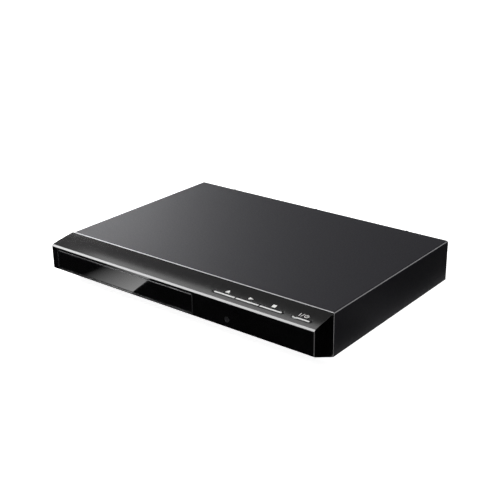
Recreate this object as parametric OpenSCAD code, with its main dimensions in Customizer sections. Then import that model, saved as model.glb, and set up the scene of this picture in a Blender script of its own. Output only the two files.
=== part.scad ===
// Slim tray-loading disc player, modelled as its separate pieces in millimetres.
// +Z is up, the front faces -Y, and the origin is the bottom centre of the whole box.

/* [Cabinet] */
// Width of the cabinet
cabinet_w = 270; // [260:1:330]
// Depth of the sheet cover, front edge to rear edge
cover_d = 172.8; // [170:0.1:220]
// Height of the cabinet without its feet
cabinet_h = 35.2; // [35:0.1:50]
// Height of the feet
foot_h = 3.3; // [2:0.1:8]
// Radius of the feet
foot_r = 9; // [6:0.5:11]
// Distance of each foot's centre from the cabinet's side
foot_inset = 24; // [20:1:40]
// Thickness of the cover sheet
cover_t = 0.8; // [0.6:0.1:1.2]
// Thickness of the base sheet
base_t = 1.0; // [0.8:0.1:1.4]
// Thickness of the rear panel
rear_t = 1.0; // [0.8:0.1:1.4]
// Outer radius of the cover's folded edges
fold_r = 1.6; // [1.3:0.1:2.5]
// Width of the bevel on the cover's front edge
cover_bevel = 0.45; // [0.2:0.05:0.6]
// Gap between nested sheets
sheet_gap = 0.3; // [0.2:0.05:0.5]

/* [Front panel] */
// How far the front panel stands out in front of the cover
nose_d = 24.3; // [22:0.1:32]
// How far the sloping top falls towards the front
nose_drop = 3.9; // [2:0.1:5]
// How far the undercut bottom rises towards the front
nose_lift = 10.4; // [6:0.1:10.6]
// Wall thickness of the front panel
panel_t = 2.2; // [1.8:0.1:2.4]
// How far the sloping top bulges in its middle
nose_crown = 0.3; // [0.1:0.05:0.5]
// Width of the bevel along the front top edge
edge_bevel = 1.3; // [0.6:0.1:1.6]
// Radius of the front bottom edge
edge_r = 1.5; // [0.8:0.1:2.5]

/* [Tray and door] */
// Distance from the cabinet's left side to the tray's centre line
tray_from_left = 82.3; // [82:0.1:90]
// Height of the disc recess above the base sheet
disc_level = 21.7; // [21.7:0.1:23]
// Width of the tray door
door_w = 150; // [146:0.5:156]
// Height of the tray door
door_h = 15.5; // [14:0.1:16]
// Thickness of the tray door
door_t = 2.4; // [2:0.1:2.6]
// Gap around the tray door
door_gap = 0.45; // [0.3:0.05:0.8]
// Width of the tray
tray_w = 133.6; // [130:0.2:134]
// Length of the tray behind its door
tray_l = 163; // [161:0.5:166]
// How far the tray comes out
tray_travel = 138; // [120:1:140]
// Radius of the recess for a full size disc
recess_r = 61; // [60.5:0.1:62]
// Radius of the recess for a small disc
small_recess_r = 40.6; // [40.3:0.1:42]

/* [Disc drive] */
// How far the disc is lifted off the tray
disc_lift = 1.6; // [1.2:0.1:1.8]
// How far the mechanism swings down at the rear pivot, in degrees
lift_angle = 3.3; // [3:0.05:3.4]
// Travel of the cam slider
cam_travel = 13.8; // [12:0.1:15]
// Travel of the pickup
pickup_travel = 35; // [30:0.5:36]
// Radius of the turntable
turntable_r = 14; // [12:0.5:15]
// Radius of the guide rails
rail_r = 1.5; // [1.2:0.1:1.8]
// Radial clearance of running bearings
run_gap = 0.05; // [0.02:0.01:0.09]
// Gear module, pitch diameter over teeth
gear_mod = 1; // [0.95:0.01:1.02]
// Teeth of the tray gear
tray_gear_teeth = 30; // [28:1:32]
// Teeth of a full turn of the lower part that drives the cam slider
cam_gear_teeth = 18; // [16:1:18]
// Teeth of the pinion on the pulley gear
pinion_teeth = 12; // [11:1:13]

/* [Keys] */
// Distance of the key line from the cover's front edge, along the slope
key_line = 17.2; // [15:0.1:19]
// Width of the groove that the keys lie in
key_groove_w = 3.6; // [3.2:0.1:4.2]
// Width of the key bars
key_bar_w = 2.0; // [1.6:0.1:2.2]
// Distance from the right side to the right end of the three-key groove
strip_from_right = 31.2; // [28:0.1:36]
// Length of the three-key groove
strip_l = 67.1; // [60:0.1:72]
// Distance from the right side to the right end of the power groove
power_from_right = 7; // [6:0.1:8]
// Length of the power groove
power_l = 18; // [16:0.1:19]
// Travel of the keys
key_travel = 0.5; // [0.3:0.05:0.55]

/* [Rear sockets] */
// How far the jacks stand out behind the cover
jack_out = 9.9; // [9:0.1:12]
// Outer radius of a jack shell
jack_r = 4.15; // [4.1:0.05:4.2]
// Inner radius of a jack shell
jack_bore_r = 3.4; // [3.3:0.05:3.5]
// Spacing of the jacks
jack_pitch = 14; // [13.5:0.1:15]
// Spacing of the mains pins
inlet_pitch = 8.6; // [8.4:0.1:8.8]

/* [Hidden] */
$fn = 48;

// Planes of the cabinet
half_w = cabinet_w / 2;
front_y = -(nose_d + cover_d + jack_out) / 2;
cover_y0 = front_y + nose_d;
cover_y1 = cover_y0 + cover_d;
rear_y = cover_y1 + jack_out;
top_z = foot_h + cabinet_h;
floor_z = foot_h + base_t;
cover_in_x = half_w - cover_t;
cover_in_z = top_z - cover_t;
base_x = cover_in_x - sheet_gap;
rear_in_y = cover_y1 - cover_t - 0.1 - rear_t;
rear_out_y = rear_in_y + rear_t;
lip_h = 5.4;
lip_screw_z = top_z - lip_h / 2 - 0.2;
slope_a = atan(nose_drop / nose_d);
under_a = atan(nose_lift / nose_d);
tongue_t = 2;
end_bevel = 0.6;
hook_w = 8;
hook_reach = 9;
hook_x = [tray_from_left - half_w - 33, tray_from_left - half_w + 33, half_w - 95, half_w - 25];
rear_screw_x = [-half_w + 14, tray_from_left - half_w, half_w - 55, half_w - 8];
cover_screw_x = [-half_w + 40, 0, half_w - 40];
screw_r = 1.4;
screw_gap = 0.05;

// Loader: x from the tray's centre line, y behind the front face, z above the base sheet
tray_cx = tray_from_left - half_w;
tray_y0 = door_t + 0.1;
tray_y1 = tray_y0 + tray_l;
disc_y = 70.5;
rim_h = 2.4;
tray_top = disc_level + rim_h;
tray_floor = disc_level - 1.4;
rail_z = tray_floor - 0.6;
door_z0 = disc_level - 10.2;
door_hook_x = [-tray_w / 2 + 5.8, 0, tray_w / 2 - 5.8];
loader_in = tray_w / 2 + 0.4;
loader_t = 2.8;
loader_out = loader_in + loader_t;
wall_z0 = 1.7;
wall_z1 = disc_level + 5;
deck_z0 = 11.2;
deck_z1 = 13;
pulley_z = deck_z1 + 0.3;
gear_z = pulley_z + 3;
loader_y0 = 6.5;
loader_y1 = 176.5;
lug_x = tray_w / 2 - 3.8;
lug_y = [55.5, 153.5];
lug_z = 3.7;
lug_t = 2.4;
tab_y = [12, 104, 134];

// Gear train
rack_pitch_x = tray_w / 2 - 9.8;
gear_y = 19.5;
gear_r = gear_mod * tray_gear_teeth / 2;
pinion_r = gear_mod * pinion_teeth / 2;
cam_gear_r = gear_mod * cam_gear_teeth / 2;
gear_cx = rack_pitch_x - gear_r;
mesh_a = 193;
pulley_cx = gear_cx + (gear_r + pinion_r) * cos(mesh_a);
pulley_cy = gear_y + (gear_r + pinion_r) * sin(mesh_a);
pulley_r = 9.6;
motor_cx = 12.3 - tray_w / 2;
motor_cy = 37.5;
motor_r = 12.2;
motor_h = 10.5;
motor_pulley_r = 2.6;
belt_w = 1.2;
belt_seat = 0.05 + belt_w / 2;
post_r = 2;
backlash = 0.14;

// Lift mechanism, drawn level and then swung down about the rear pivot
pivot_y = 167.5;
pivot_z = 13.1;
pivot_r = 2;
frame_x = tray_w / 2 - 10.8;
frame_wall = 5.5;
frame_in_x = frame_x - frame_wall;
frame_y0 = 51.5;
frame_y1 = 171.5;
frame_z0 = 10.3;
frame_z1 = 15.5;
cam_pin_r = 1.6;
cam_pin_x = [-16, 16];
cam_pin_z = 12.3;
slider_y0 = 41.3;
slider_y1 = 45.3;
cam_rise = (pivot_y - (slider_y0 + slider_y1) / 2) * sin(lift_angle);
plate_z = 17.3;
plate_t = 1.2;
damper_x = frame_x - 5;
damper_r = 4.2;
damper_lobe_r = damper_r + 0.3;
damper_xy = [for (y = [frame_y0 + 6, frame_y1 - 10], x = [-damper_x, damper_x]) [x, y]];
plate_x = damper_x - 5;
seat_z = disc_level + disc_lift;
cone_h = 2.2;
cone_r = 7.45;
rail_x = 26;
rails_z = 12.7;
rail_y0 = 76;
lens_y = 93.5;
pickup_y1 = lens_y + 17;
rail_y1 = pickup_y1 + pickup_travel + 6.5;
pickup_x = 21;
screw_x = 36;
screw_z = 11.2;
bridge_z = disc_level + 5;
bridge_t = 1.2;
bridge_screw_y = [disc_y - 11, disc_y + 11];
bridge_screw_x = [-1, 1] * (loader_in + loader_t / 2);
bridge_hw = 16;
bridge_screw_r = 0.76;
clamp_hole_r = 12.4;
clamp_hollow_r = cone_r + 2.2;
clamp_disc_r = 14.3;

// Electronics
board_z = floor_z + 5;
board_t = 1.6;
board_top = board_z + board_t;
board_gap = 1.2;
board_post_r = 3;
main_x0 = tray_cx + loader_out + 9;
main_x1 = main_x0 + 53;
main_y0 = rear_in_y - 109;
board_y1 = rear_in_y - board_gap;
power_x1 = half_w - 4.6;
power_x0 = power_x1 - 46;
power_y0 = rear_in_y - 148;
jack_x0 = main_x0 + 9;
jack_x = [for (i = [0:2]) jack_x0 + i * jack_pitch];
collar_r = 5.4;
collar_y1 = cover_y1 + 1.2;
jack_neck_r = jack_bore_r + 0.5;
jack_z = [board_top + 5, board_top + 5 + 2 * collar_r + 0.6];
coax_x = jack_x0 + 3 * jack_pitch - 0.5;
jack_block_y = rear_in_y - 12.5;
inlet_x = half_w - 27;
inlet_z = board_top + 7;
inlet_r = 4.2;
inlet_hw = 10;
inlet_hh = 5.8;
front_board_depth = 9;
front_board_t = 1.6;
groove_depth = 0.8;
key_rise = crown_z(cover_y0 - key_line * cos(slope_a)) * cos(slope_a);
key_slot_gap = 0.2;
key_len = (strip_l - 1.2 - 0.8) / 3;
strip_x0 = half_w - strip_from_right - strip_l;
key_x = [for (i = [0:2]) strip_x0 + 0.6 + i * (key_len + 0.4)];
power_x = half_w - power_from_right - power_l;
power_key_x0 = power_x + 5.4;
power_key_l = power_l - 6;
lamp_x = power_x + 3;
lamp_r = 0.9;
boss_y = -10;
switch_h = 4;
window_x = half_w - 78.5;
window_z = top_z - 18.3;
window_r = 2;

// ---------- helpers ----------

// Box between two corners
module block(low, high) {
  translate(low) cube(high - low);
}

// Upright cylinder from z0 to z1
module post(x, y, z0, z1, r) {
  translate([x, y, z0]) cylinder(r = r, h = z1 - z0);
}

// Cylinder along Y from y0 to y1
module bar_y(x, z, y0, y1, r) {
  translate([x, y0, z]) rotate([-90, 0, 0]) cylinder(r = r, h = y1 - y0);
}

// Cylinder along X from x0 to x1
module bar_x(y, z, x0, x1, r) {
  translate([x0, y, z]) rotate([0, 90, 0]) cylinder(r = r, h = x1 - x0);
}

// Flat rectangle with round corners
module round_rect(w, h, r) {
  square([w - 2 * r, h], center = true);
  square([w, h - 2 * r], center = true);
  for (x = [-1, 1], y = [-1, 1]) translate([x * (w / 2 - r), y * (h / 2 - r)]) circle(r = r);
}

// Flat slot with round ends, starting at x = 0
module slot_shape(l, w) {
  translate([w / 2, 0]) circle(r = w / 2);
  translate([l - w / 2, 0]) circle(r = w / 2);
  translate([w / 2, -w / 2]) square([l - w, w]);
}

// Places the loader's own frame
module at_loader() {
  translate([tray_cx, front_y, floor_z]) children();
}

// Swings the lift mechanism down from its level place
module lowered() {
  at_loader() translate([0, pivot_y, pivot_z]) rotate([lift_angle, 0, 0])
    translate([0, -pivot_y, -pivot_z]) children();
}

// Frame on the sloping top: y runs down the slope when negative, z stands on its surface
module on_slope() {
  translate([0, cover_y0, top_z]) rotate([slope_a, 0, 0]) children();
}

function inv(a) = tan(a) * 180 / PI - a;
function spot(r, a) = [r * cos(a), r * sin(a)];

// One side of an involute tooth from its root to its tip, as [radius, half angle]
function flank(n, m) =
  let (rp = m * n / 2, rb = rp * cos(20), ra = rp + m, rr = rp - 1.2 * m,
       half = 90 / n - backlash / (2 * rp) * 180 / PI)
  [for (i = [0:4]) let (r = max(rb, rr) + (ra - max(rb, rr)) * i / 4)
    [r, half + inv(20) - inv(acos(min(1, rb / r)))]];

// Outline of a spur gear with a tooth at angle 0
module gear_shape(n, m) {
  f = flank(n, m);
  root = m * n / 2 - 1.2 * m;
  polygon([for (k = [0:n - 1]) let (a = 360 * k / n)
    each concat(
      [spot(root, a - f[0][1])],
      [for (i = [0:4]) spot(f[i][0], a - f[i][1])],
      [for (i = [4:-1:0]) spot(f[i][0], a + f[i][1])],
      [spot(root, a + f[0][1])])]);
}

// Straight rack along +Y, its teeth pointing to -X from the pitch line at x = 0
module rack_shape(teeth, m, back) {
  p = PI * m;
  t = p / 4 - backlash / 2;
  lean = m * tan(20);
  polygon(concat(
    [[back, 0]],
    [[1.25 * m, 0]],
    [for (k = [0:teeth - 1]) let (c = (k + 0.5) * p)
      each [[1.25 * m, c - t - 1.25 * lean], [-m, c - t + lean],
            [-m, c + t - lean], [1.25 * m, c + t + 1.25 * lean]]],
    [[1.25 * m, teeth * p], [back, teeth * p]]));
}

// Extra height of the sloping top's crown at y
function crown_z(y) = let (t = (cover_y0 - y) / nose_d) 4 * nose_crown * t * (1 - t);

// Height of the sloping top and of the undercut bottom at y, moved inwards by w
function slope_z(y, w) = top_z + (y - cover_y0) * tan(slope_a) - w / cos(slope_a) + crown_z(y);
function under_z(y, w) = foot_h - (y - cover_y0) * tan(under_a) + w / cos(under_a);

// Side view of the front panel, moved inwards by w, with a crowned and bevelled top and a round bottom edge
module nose_shape(w, bevel, r) {
  y0 = front_y + w;
  cz = under_z(y0 + r, w) + r / cos(under_a);
  steps = 20;
  polygon(concat(
    [for (i = [0:steps]) let (y = cover_y0 + (y0 + bevel - cover_y0) * i / steps) [y, slope_z(y, w)]],
    [[y0, slope_z(y0, w) - bevel * 0.85]],
    [for (i = [0:5]) let (a = 180 + (90 - under_a) * i / 5) [y0 + r + r * cos(a), cz + r * sin(a)]],
    [[cover_y0, under_z(cover_y0, w)]]));
}

// Extrudes a side view along X from x0 to x1
module along_x(x0, x1) {
  translate([x0, 0, 0]) rotate([90, 0, 90]) linear_extrude(x1 - x0) children();
}

// Pan head screw pointing down, its head standing on z = 0
module screw_down(length, head_r) {
  difference() {
    union() {
      cylinder(r = head_r, h = 1.5);
      translate([0, 0, -length]) cylinder(r = screw_r, h = length + 0.5);
    }
    for (a = [0, 90]) rotate([0, 0, a]) translate([-head_r * 0.6, -0.35, 0.8]) cube([head_r * 1.2, 0.7, 1]);
  }
}

// ---------- cabinet ----------

module top_cover() color([0.2, 0.2, 0.22]) {
  difference() {
    union() {
      block([-half_w + fold_r, cover_y0, cover_in_z], [half_w - fold_r, cover_y1, top_z]);
      for (s = [0, 1]) mirror([s, 0, 0]) {
        block([cover_in_x, cover_y0, foot_h], [half_w, cover_y1, top_z - fold_r]);
        difference() {
          bar_y(half_w - fold_r, top_z - fold_r, cover_y0, cover_y1, fold_r);
          bar_y(half_w - fold_r, top_z - fold_r, cover_y0 - 1, cover_y1 + 1, fold_r - cover_t);
          block([half_w - 3 * fold_r, cover_y0 - 1, foot_h], [half_w - fold_r, cover_y1 + 1, top_z + 1]);
          block([half_w - 3 * fold_r, cover_y0 - 1, foot_h], [half_w + 1, cover_y1 + 1, top_z - fold_r]);
        }
      }
      block([-cover_in_x, cover_y1 - cover_t, top_z - lip_h], [cover_in_x, cover_y1, cover_in_z]);
    }
    for (x = cover_screw_x) bar_y(x, lip_screw_z, cover_y1 - 2, cover_y1 + 1, screw_r + 0.3);
    // bevel along the front edge: across the top, round both folds and down the sides
    side = cover_bevel * sqrt(2);
    translate([0, cover_y0, top_z]) rotate([45, 0, 0])
      cube([cabinet_w - 2 * fold_r, side, side], center = true);
    for (s = [0, 1]) mirror([s, 0, 0]) {
      translate([half_w, cover_y0, foot_h]) rotate([0, 0, 45])
        translate([-side / 2, -side / 2, -1]) cube([side, side, cabinet_h - fold_r + 1]);
      intersection() {
        translate([half_w - fold_r, cover_y0, top_z - fold_r]) rotate([-90, 0, 0]) rotate_extrude()
          polygon([[fold_r - cover_bevel, 0], [fold_r + 1, 0], [fold_r + 1, cover_bevel + 1]]);
        block([half_w - fold_r, cover_y0 - 1, top_z - fold_r], [half_w + 2, cover_y0 + 2, top_z + 2]);
      }
    }
  }
}

module base_chassis() color([0.72, 0.73, 0.74]) {
  y0 = cover_y0 + 0.2;
  y1 = rear_in_y - 0.2;
  difference() {
    union() {
      block([-base_x, y0, foot_h], [base_x, y1, floor_z]);
      for (s = [0, 1]) mirror([s, 0, 0])
        block([base_x - base_t, cover_y0 + 7.5, floor_z], [base_x, y1, top_z - 8]);
      block([-base_x + 3, y0, floor_z], [base_x - 3, y0 + 1, floor_z + 3]);
      at_loader() for (x = [-lug_x, lug_x], y = lug_y) post(x, y, 0, lug_z, 3.2);
      for (p = board_posts()) post(p[0], p[1], floor_z, board_z, board_post_r);
      // stamped ribs under the boards
      for (x = [main_x0 + 26, power_x0 + 32])
        block([x - 3, power_y0 + 34, floor_z], [x + 3, board_y1 - 22, floor_z + 0.8]);
    }
    at_loader() for (x = [-lug_x, lug_x], y = lug_y) post(x, y, -0.3, lug_z + 1, screw_r + screw_gap);
    for (p = board_posts()) post(p[0], p[1], floor_z - 0.3, board_z + 1, screw_r + screw_gap);
    for (p = foot_places()) post(p[0], p[1], foot_h - 1, floor_z + 1, 2);
    for (x = hook_x) {
      hw = hook_w / 2 + 0.5;
      block([x - hw, cover_y0 + 6, foot_h - 1], [x + hw, cover_y0 + hook_reach + 1, floor_z + 1]);
      block([x - hw, cover_y0 - 1, floor_z], [x + hw, cover_y0 + 3, floor_z + 4]);
    }
    at_loader() block([motor_cx - 14, nose_d - 1, 0], [motor_cx + 14, nose_d + 3, 4]);
    for (i = [0:7]) translate([power_x0 + 8, power_y0 + 42 + i * 7, foot_h - 1])
      linear_extrude(base_t + 2) slot_shape(16, 3);
    for (x = rear_screw_x) post(x, rear_in_y - 5, foot_h - 1, floor_z + 1, screw_r + screw_gap);
  }
}

function foot_places() = [for (x = [-half_w + foot_inset, half_w - foot_inset],
  y = [cover_y0 + foot_inset, cover_y1 - foot_inset]) [x, y]];
function board_posts() = [for (x = [main_x0 + 4, main_x1 - 4], y = [main_y0 + 4, board_y1 - 18]) [x, y],
  for (x = [power_x0 + 4, power_x1 - 4], y = [power_y0 + 4, board_y1 - 36]) [x, y]];

module rear_panel() color([0.16, 0.16, 0.17]) {
  difference() {
    union() {
      block([-base_x, rear_in_y, foot_h], [base_x, rear_out_y, cover_in_z - sheet_gap]);
      for (x = rear_screw_x) block([x - 5, rear_in_y - 9, floor_z], [x + 5, rear_in_y + 0.5, floor_z + 1]);
    }
    for (p = jack_spots()) bar_y(p[0], p[1], rear_in_y - 1, rear_out_y + 1, jack_r + 0.15);
    block([inlet_x - inlet_hw - 0.3, rear_in_y - 1, inlet_z - inlet_hh - 0.2],
          [inlet_x + inlet_hw + 0.3, rear_out_y + 1, inlet_z + inlet_hh + 0.2]);
    for (x = cover_screw_x) bar_y(x, lip_screw_z, rear_in_y - 1, rear_out_y + 1, screw_r + screw_gap);
    for (x = jack_screw_x()) bar_y(x, jack_screw_z(), rear_in_y - 1, rear_out_y + 1, screw_r + screw_gap);
    for (x = rear_screw_x) post(x, rear_in_y - 5, foot_h - 1, floor_z + 2, screw_r + screw_gap);
    for (i = [0:11]) translate([tray_cx - 33 + i * 6, rear_in_y - 1, floor_z + 8])
      rotate([-90, -90, 0]) linear_extrude(rear_t + 2) slot_shape(16, 2.4);
  }
}

function jack_screw_x() = [jack_x0 - jack_pitch / 2 + 14, jack_x0 + jack_pitch / 2 + 14];
function jack_screw_z() = (jack_z[0] + jack_z[1]) / 2;

module feet() color([0.1, 0.1, 0.1]) for (p = foot_places()) difference() {
  union() {
    post(p[0], p[1], 0, foot_h - 0.02, foot_r);
    post(p[0], p[1], foot_h - 0.5, floor_z + 0.5, 2 - run_gap);
  }
  post(p[0], p[1], -1, 1, foot_r - 3.5);
}

module cover_screws() color([0.1, 0.1, 0.1]) for (x = cover_screw_x)
  translate([x, cover_y1 + 0.02, lip_screw_z]) rotate([-90, 0, 0]) screw_down(4.5, 2.7);

module rear_screws() color([0.6, 0.6, 0.62]) {
  for (x = jack_screw_x()) translate([x, rear_out_y + 0.02, jack_screw_z()])
    rotate([-90, 0, 0]) screw_down(5, 2.5);
  for (x = rear_screw_x) translate([x, rear_in_y - 5, floor_z + 1.02]) screw_down(2.1, 2.6);
}

module front_panel() color([0.04, 0.04, 0.045]) {
  door_x0 = tray_cx - door_w / 2 - door_gap;
  door_x1 = tray_cx + door_w / 2 + door_gap;
  difference() {
    union() {
      difference() {
        along_x(-half_w, half_w) nose_shape(0, edge_bevel, edge_r);
        along_x(-half_w + panel_t, half_w - panel_t) nose_shape(panel_t, 0.4, 0.6);
        block([-half_w + panel_t, cover_y0 - 0.2, under_z(cover_y0, panel_t)],
              [half_w - panel_t, cover_y0 + 1, slope_z(cover_y0, panel_t)]);
      }
      // top and side tongues that go inside the cover
      block([-half_w + panel_t, cover_y0 - 3, cover_in_z - 0.2 - tongue_t],
            [half_w - panel_t, cover_y0 + 6, cover_in_z - 0.2]);
      for (s = [0, 1]) mirror([s, 0, 0])
        block([base_x - 0.2 - tongue_t, cover_y0 - 3, foot_h + 6],
              [base_x - 0.2, cover_y0 + 6.5, cover_in_z - 2]);
      // snap hooks over the base sheet
      for (x = hook_x) {
        translate([x - hook_w / 2, cover_y0, 0]) {
          block([0, -3.4, floor_z + 0.3], [hook_w, hook_reach, floor_z + 1.9]);
          block([0, 6.6, foot_h + 0.2], [hook_w, hook_reach, floor_z + 0.6]);
        }
      }
      // screw posts for the key board
      on_slope() for (x = key_board_screws()) translate([x, boss_y, -front_board_depth + 0.02])
        cylinder(r = 2.6, h = front_board_depth - panel_t + nose_crown + 0.3);
      // stiffening ribs behind the front wall, right of the door
      for (x = [door_x1 + 3, half_w - 45]) along_x(x, x + 1.2) intersection() {
        nose_shape(panel_t - 0.3, 0, 0.6);
        translate([front_y, window_z - 14]) square([7, 16]);
      }
    }
    // door opening
    block([door_x0, front_y - 1, floor_z + door_z0 - door_gap],
          [door_x1, front_y + panel_t + 1, floor_z + door_z0 + door_h + door_gap]);
    // grooves and slots of the keys
    on_slope() {
      key_groove(strip_x0, strip_l);
      key_groove(power_x, power_l);
      for (x = key_x) key_hole(x, key_len);
      key_hole(power_key_x0, power_key_l);
      translate([lamp_x, -key_line, -panel_t - 1]) cylinder(r = lamp_r + 0.05, h = panel_t + 2);
      for (x = key_board_screws()) translate([x, boss_y, -front_board_depth - 1])
        cylinder(r = screw_r + screw_gap, h = 6.5);
    }
    bar_y(window_x, window_z, front_y - 1, front_y + panel_t + 1, window_r + 0.05);
    // bevelled upright edges at both ends of the front face
    for (x = [-half_w, half_w]) translate([x, front_y, top_z / 2]) rotate([0, 0, 45])
      cube([end_bevel, end_bevel, top_z + 2], center = true);
  }
}

function key_board_screws() = [strip_x0 - 2.5, half_w - strip_from_right + 2.6, half_w - 6.5];

module key_groove(x, l) translate([x, -key_line, key_rise - groove_depth])
  linear_extrude(groove_depth + 1) slot_shape(l, key_groove_w);

module key_hole(x, l) translate([x - key_slot_gap, -key_line - key_bar_w / 2 - key_slot_gap, -panel_t - 1])
  cube([l + 2 * key_slot_gap, key_bar_w + 2 * key_slot_gap, panel_t + 2]);

// ---------- tray ----------

module tray_door() color([0.04, 0.04, 0.045]) at_loader() {
  translate([0, 0, door_z0 + door_h / 2]) rotate([90, 0, 0]) {
    translate([0, 0, -door_t]) linear_extrude(door_t - 0.4) round_rect(door_w, door_h, 1);
    translate([0, 0, -0.41]) linear_extrude(0.41) round_rect(door_w - 0.6, door_h - 0.6, 0.8);
  }
  // hooks that clip the door to the tray's front wall
  for (x = door_hook_x) {
    block([x - 2.4, door_t - 0.1, tray_floor - 3.2], [x + 2.4, tray_y0 + 8, tray_floor - 1.7]);
    block([x - 2.4, tray_y0 + 5.9, tray_floor - 2], [x + 2.4, tray_y0 + 8, tray_floor + 1.2]);
  }
}

module disc_tray() color([0.22, 0.22, 0.23]) at_loader() {
  half = tray_w / 2;
  rack_teeth = floor((tray_travel + 12) / (PI * gear_mod));
  difference() {
    block([-half, tray_y0, tray_floor], [half, tray_y1, tray_top]);
    post(0, disc_y, disc_level, tray_top + 1, recess_r);
    post(0, disc_y, disc_level - 0.6, tray_top + 1, small_recess_r);
    // finger scoops before and behind the disc
    for (y = [disc_y - recess_r + 2, disc_y + recess_r - 2]) post(0, y, disc_level, tray_top + 1, 15);
    // hollow under the rim, leaving walls around it
    difference() {
      block([-half + 4.6, tray_y0 + 2.5, tray_floor - 1], [half - 4.6, tray_y1 - 2, tray_top - 1.4]);
      post(0, disc_y, tray_floor - 2, tray_top, recess_r + 1.6);
      for (y = [disc_y - recess_r + 2, disc_y + recess_r - 2]) post(0, y, tray_floor - 2, tray_top, 16.6);
      block([rack_pitch_x - 1.6, tray_y0, tray_floor - 2], [half, tray_y1, tray_top]);
    }
    // window for the turntable and the pickup
    post(0, disc_y, tray_floor - 1, tray_top + 1, 19);
    block([-20, disc_y, tray_floor - 1], [20, lens_y + pickup_travel + 11, tray_top + 1]);
    // openings that take the door's hooks
    for (x = door_hook_x)
      block([x - 2.7, tray_y0 + 5.6, tray_floor - 1], [x + 2.7, tray_y0 + 8.3, tray_floor + 1.7]);
  }
  // side runners
  for (x = [1 - half, half - 1]) block([x - 1, tray_y0, rail_z], [x + 1, tray_y1, tray_floor + 0.1]);
  // rack along the right side
  translate([rack_pitch_x, gear_y - 2 * PI * gear_mod, gear_z + 0.2]) linear_extrude(tray_floor - gear_z)
    rack_shape(rack_teeth, gear_mod, 4.6);
}

// ---------- loader ----------

module loader_frame() color([0.3, 0.3, 0.31]) at_loader() {
  difference() {
    union() {
      for (s = [-1, 1]) {
        x0 = s > 0 ? loader_in : -loader_out;
        // side wall, cut back over the undercut front
        block([x0, loader_y0, deck_z0], [x0 + loader_t, loader_y1, wall_z1]);
        block([x0, nose_d + 1.2, wall_z0], [x0 + loader_t, loader_y1, deck_z1]);
        // runner ledge under the tray and tabs over it
        translate([s * (loader_in - 1.5), 0, rail_z])
          block([-1.7, loader_y0, -1.8], [1.7, loader_y1, -0.3]);
        for (y = tab_y) translate([s * (loader_in - 0.6), y, tray_top + 0.4]) block([-1, 0, 0], [1, 7, 1.4]);
        // screw lugs
        for (y = lug_y) {
          post(s * lug_x, y, lug_z, lug_z + lug_t, 3.6);
          translate([s * (lug_x + loader_in) / 2, y, lug_z]) block([-2.2, -3, 0], [2.2, 3, lug_t]);
        }
        // rear pivot blocks
        translate([s * (frame_x + 6.3), pivot_y, 0]) block([-5.2, -4, wall_z0 + 2], [5.2, 4, pivot_z + 3]);
      }
      // front deck that carries the gear train
      block([-loader_in - 0.5, loader_y0, deck_z0], [loader_in + 0.5, slider_y0 - 2.4, deck_z1]);
      post(motor_cx, motor_cy, deck_z0, deck_z1, motor_r + 0.4);
      block([-loader_in - 0.5, slider_y0 - 4, deck_z0], [motor_cx, motor_cy + motor_r, deck_z1]);
      // skirt and channel of the cam slider
      block([-39, slider_y0 - 2.4, 0.4], [38, slider_y0 - 0.4, deck_z1]);
      block([-39, slider_y0 - 1, 0.4], [38, slider_y1 + 1.4, 1.9]);
      for (x = [-36, 6, 30]) block([x, slider_y1 + 0.3, 1], [x + 6, slider_y1 + 1.4, 3.4]);
      // rear cross beam
      block([-loader_out, loader_y1 - 3, wall_z0], [loader_out, loader_y1, pivot_z + 3]);
      // bearing posts of the gears
      post(gear_cx, gear_y, deck_z0, gear_z + 3, post_r);
      post(pulley_cx, pulley_cy, deck_z0, gear_z + 3, post_r);
      post(gear_cx, gear_y, deck_z0, pulley_z - 0.05, post_r + 1.4);
      post(pulley_cx, pulley_cy, deck_z0, pulley_z - 0.05, post_r + 1.4);
    }
    for (x = [-lug_x, lug_x], y = lug_y) post(x, y, lug_z - 1, lug_z + 4, screw_r + screw_gap);
    for (x = [-frame_x - 8, frame_x]) bar_x(pivot_y, pivot_z, x, x + 8, pivot_r + run_gap);
    // motor shaft hole
    post(motor_cx, motor_cy, deck_z0 - 1, deck_z1 + 1, 3);
    for (s = [-1, 1]) post(motor_cx + 8 * s, motor_cy, deck_z0 - 1, deck_z1 + 1, 1);
    // screw holes of the clamp bridge
    for (x = bridge_screw_x, y = bridge_screw_y) post(x, y, wall_z1 - 5, wall_z1 + 1, bridge_screw_r + 0.04);
  }
}

module loader_screws() color([0.6, 0.6, 0.62]) at_loader() {
  for (x = [-lug_x, lug_x], y = lug_y) translate([x, y, lug_z + lug_t + 0.02]) screw_down(5.6, 2.8);
  for (x = bridge_screw_x, y = bridge_screw_y) translate([x, y, bridge_z + bridge_t + 0.02]) {
    cylinder(r = 1.5, h = 1.1);
    translate([0, 0, -5]) cylinder(r = bridge_screw_r, h = 5.2);
  }
}

module loading_motor() color([0.75, 0.76, 0.77]) at_loader() difference() {
  union() {
    post(motor_cx, motor_cy, deck_z0 - motor_h, deck_z0 - 0.02, motor_r);
    post(motor_cx, motor_cy, deck_z0 - 1, deck_z1 - 0.3, 2.8);
  }
  post(motor_cx, motor_cy, deck_z0 - motor_h + 1, deck_z1, 1 + run_gap);
  for (s = [-1, 1]) post(motor_cx + 8 * s, motor_cy, deck_z0 - 3, deck_z1, 0.8);
}

// Pulley with a round groove for the belt
module grooved_pulley(r, h) rotate_extrude() difference() {
  square([r + 0.9, h]);
  translate([r, h / 2 - belt_w / 2 - 0.2]) square([1, belt_w + 0.4]);
}

module motor_pulley() color([0.85, 0.85, 0.8]) at_loader() translate([motor_cx, motor_cy, 0]) {
  translate([0, 0, pulley_z]) grooved_pulley(motor_pulley_r, 2.6);
  translate([0, 0, deck_z0 - motor_h + 1.5]) cylinder(r = 1, h = pulley_z + 2.6 - deck_z0 + motor_h - 1);
}

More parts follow.
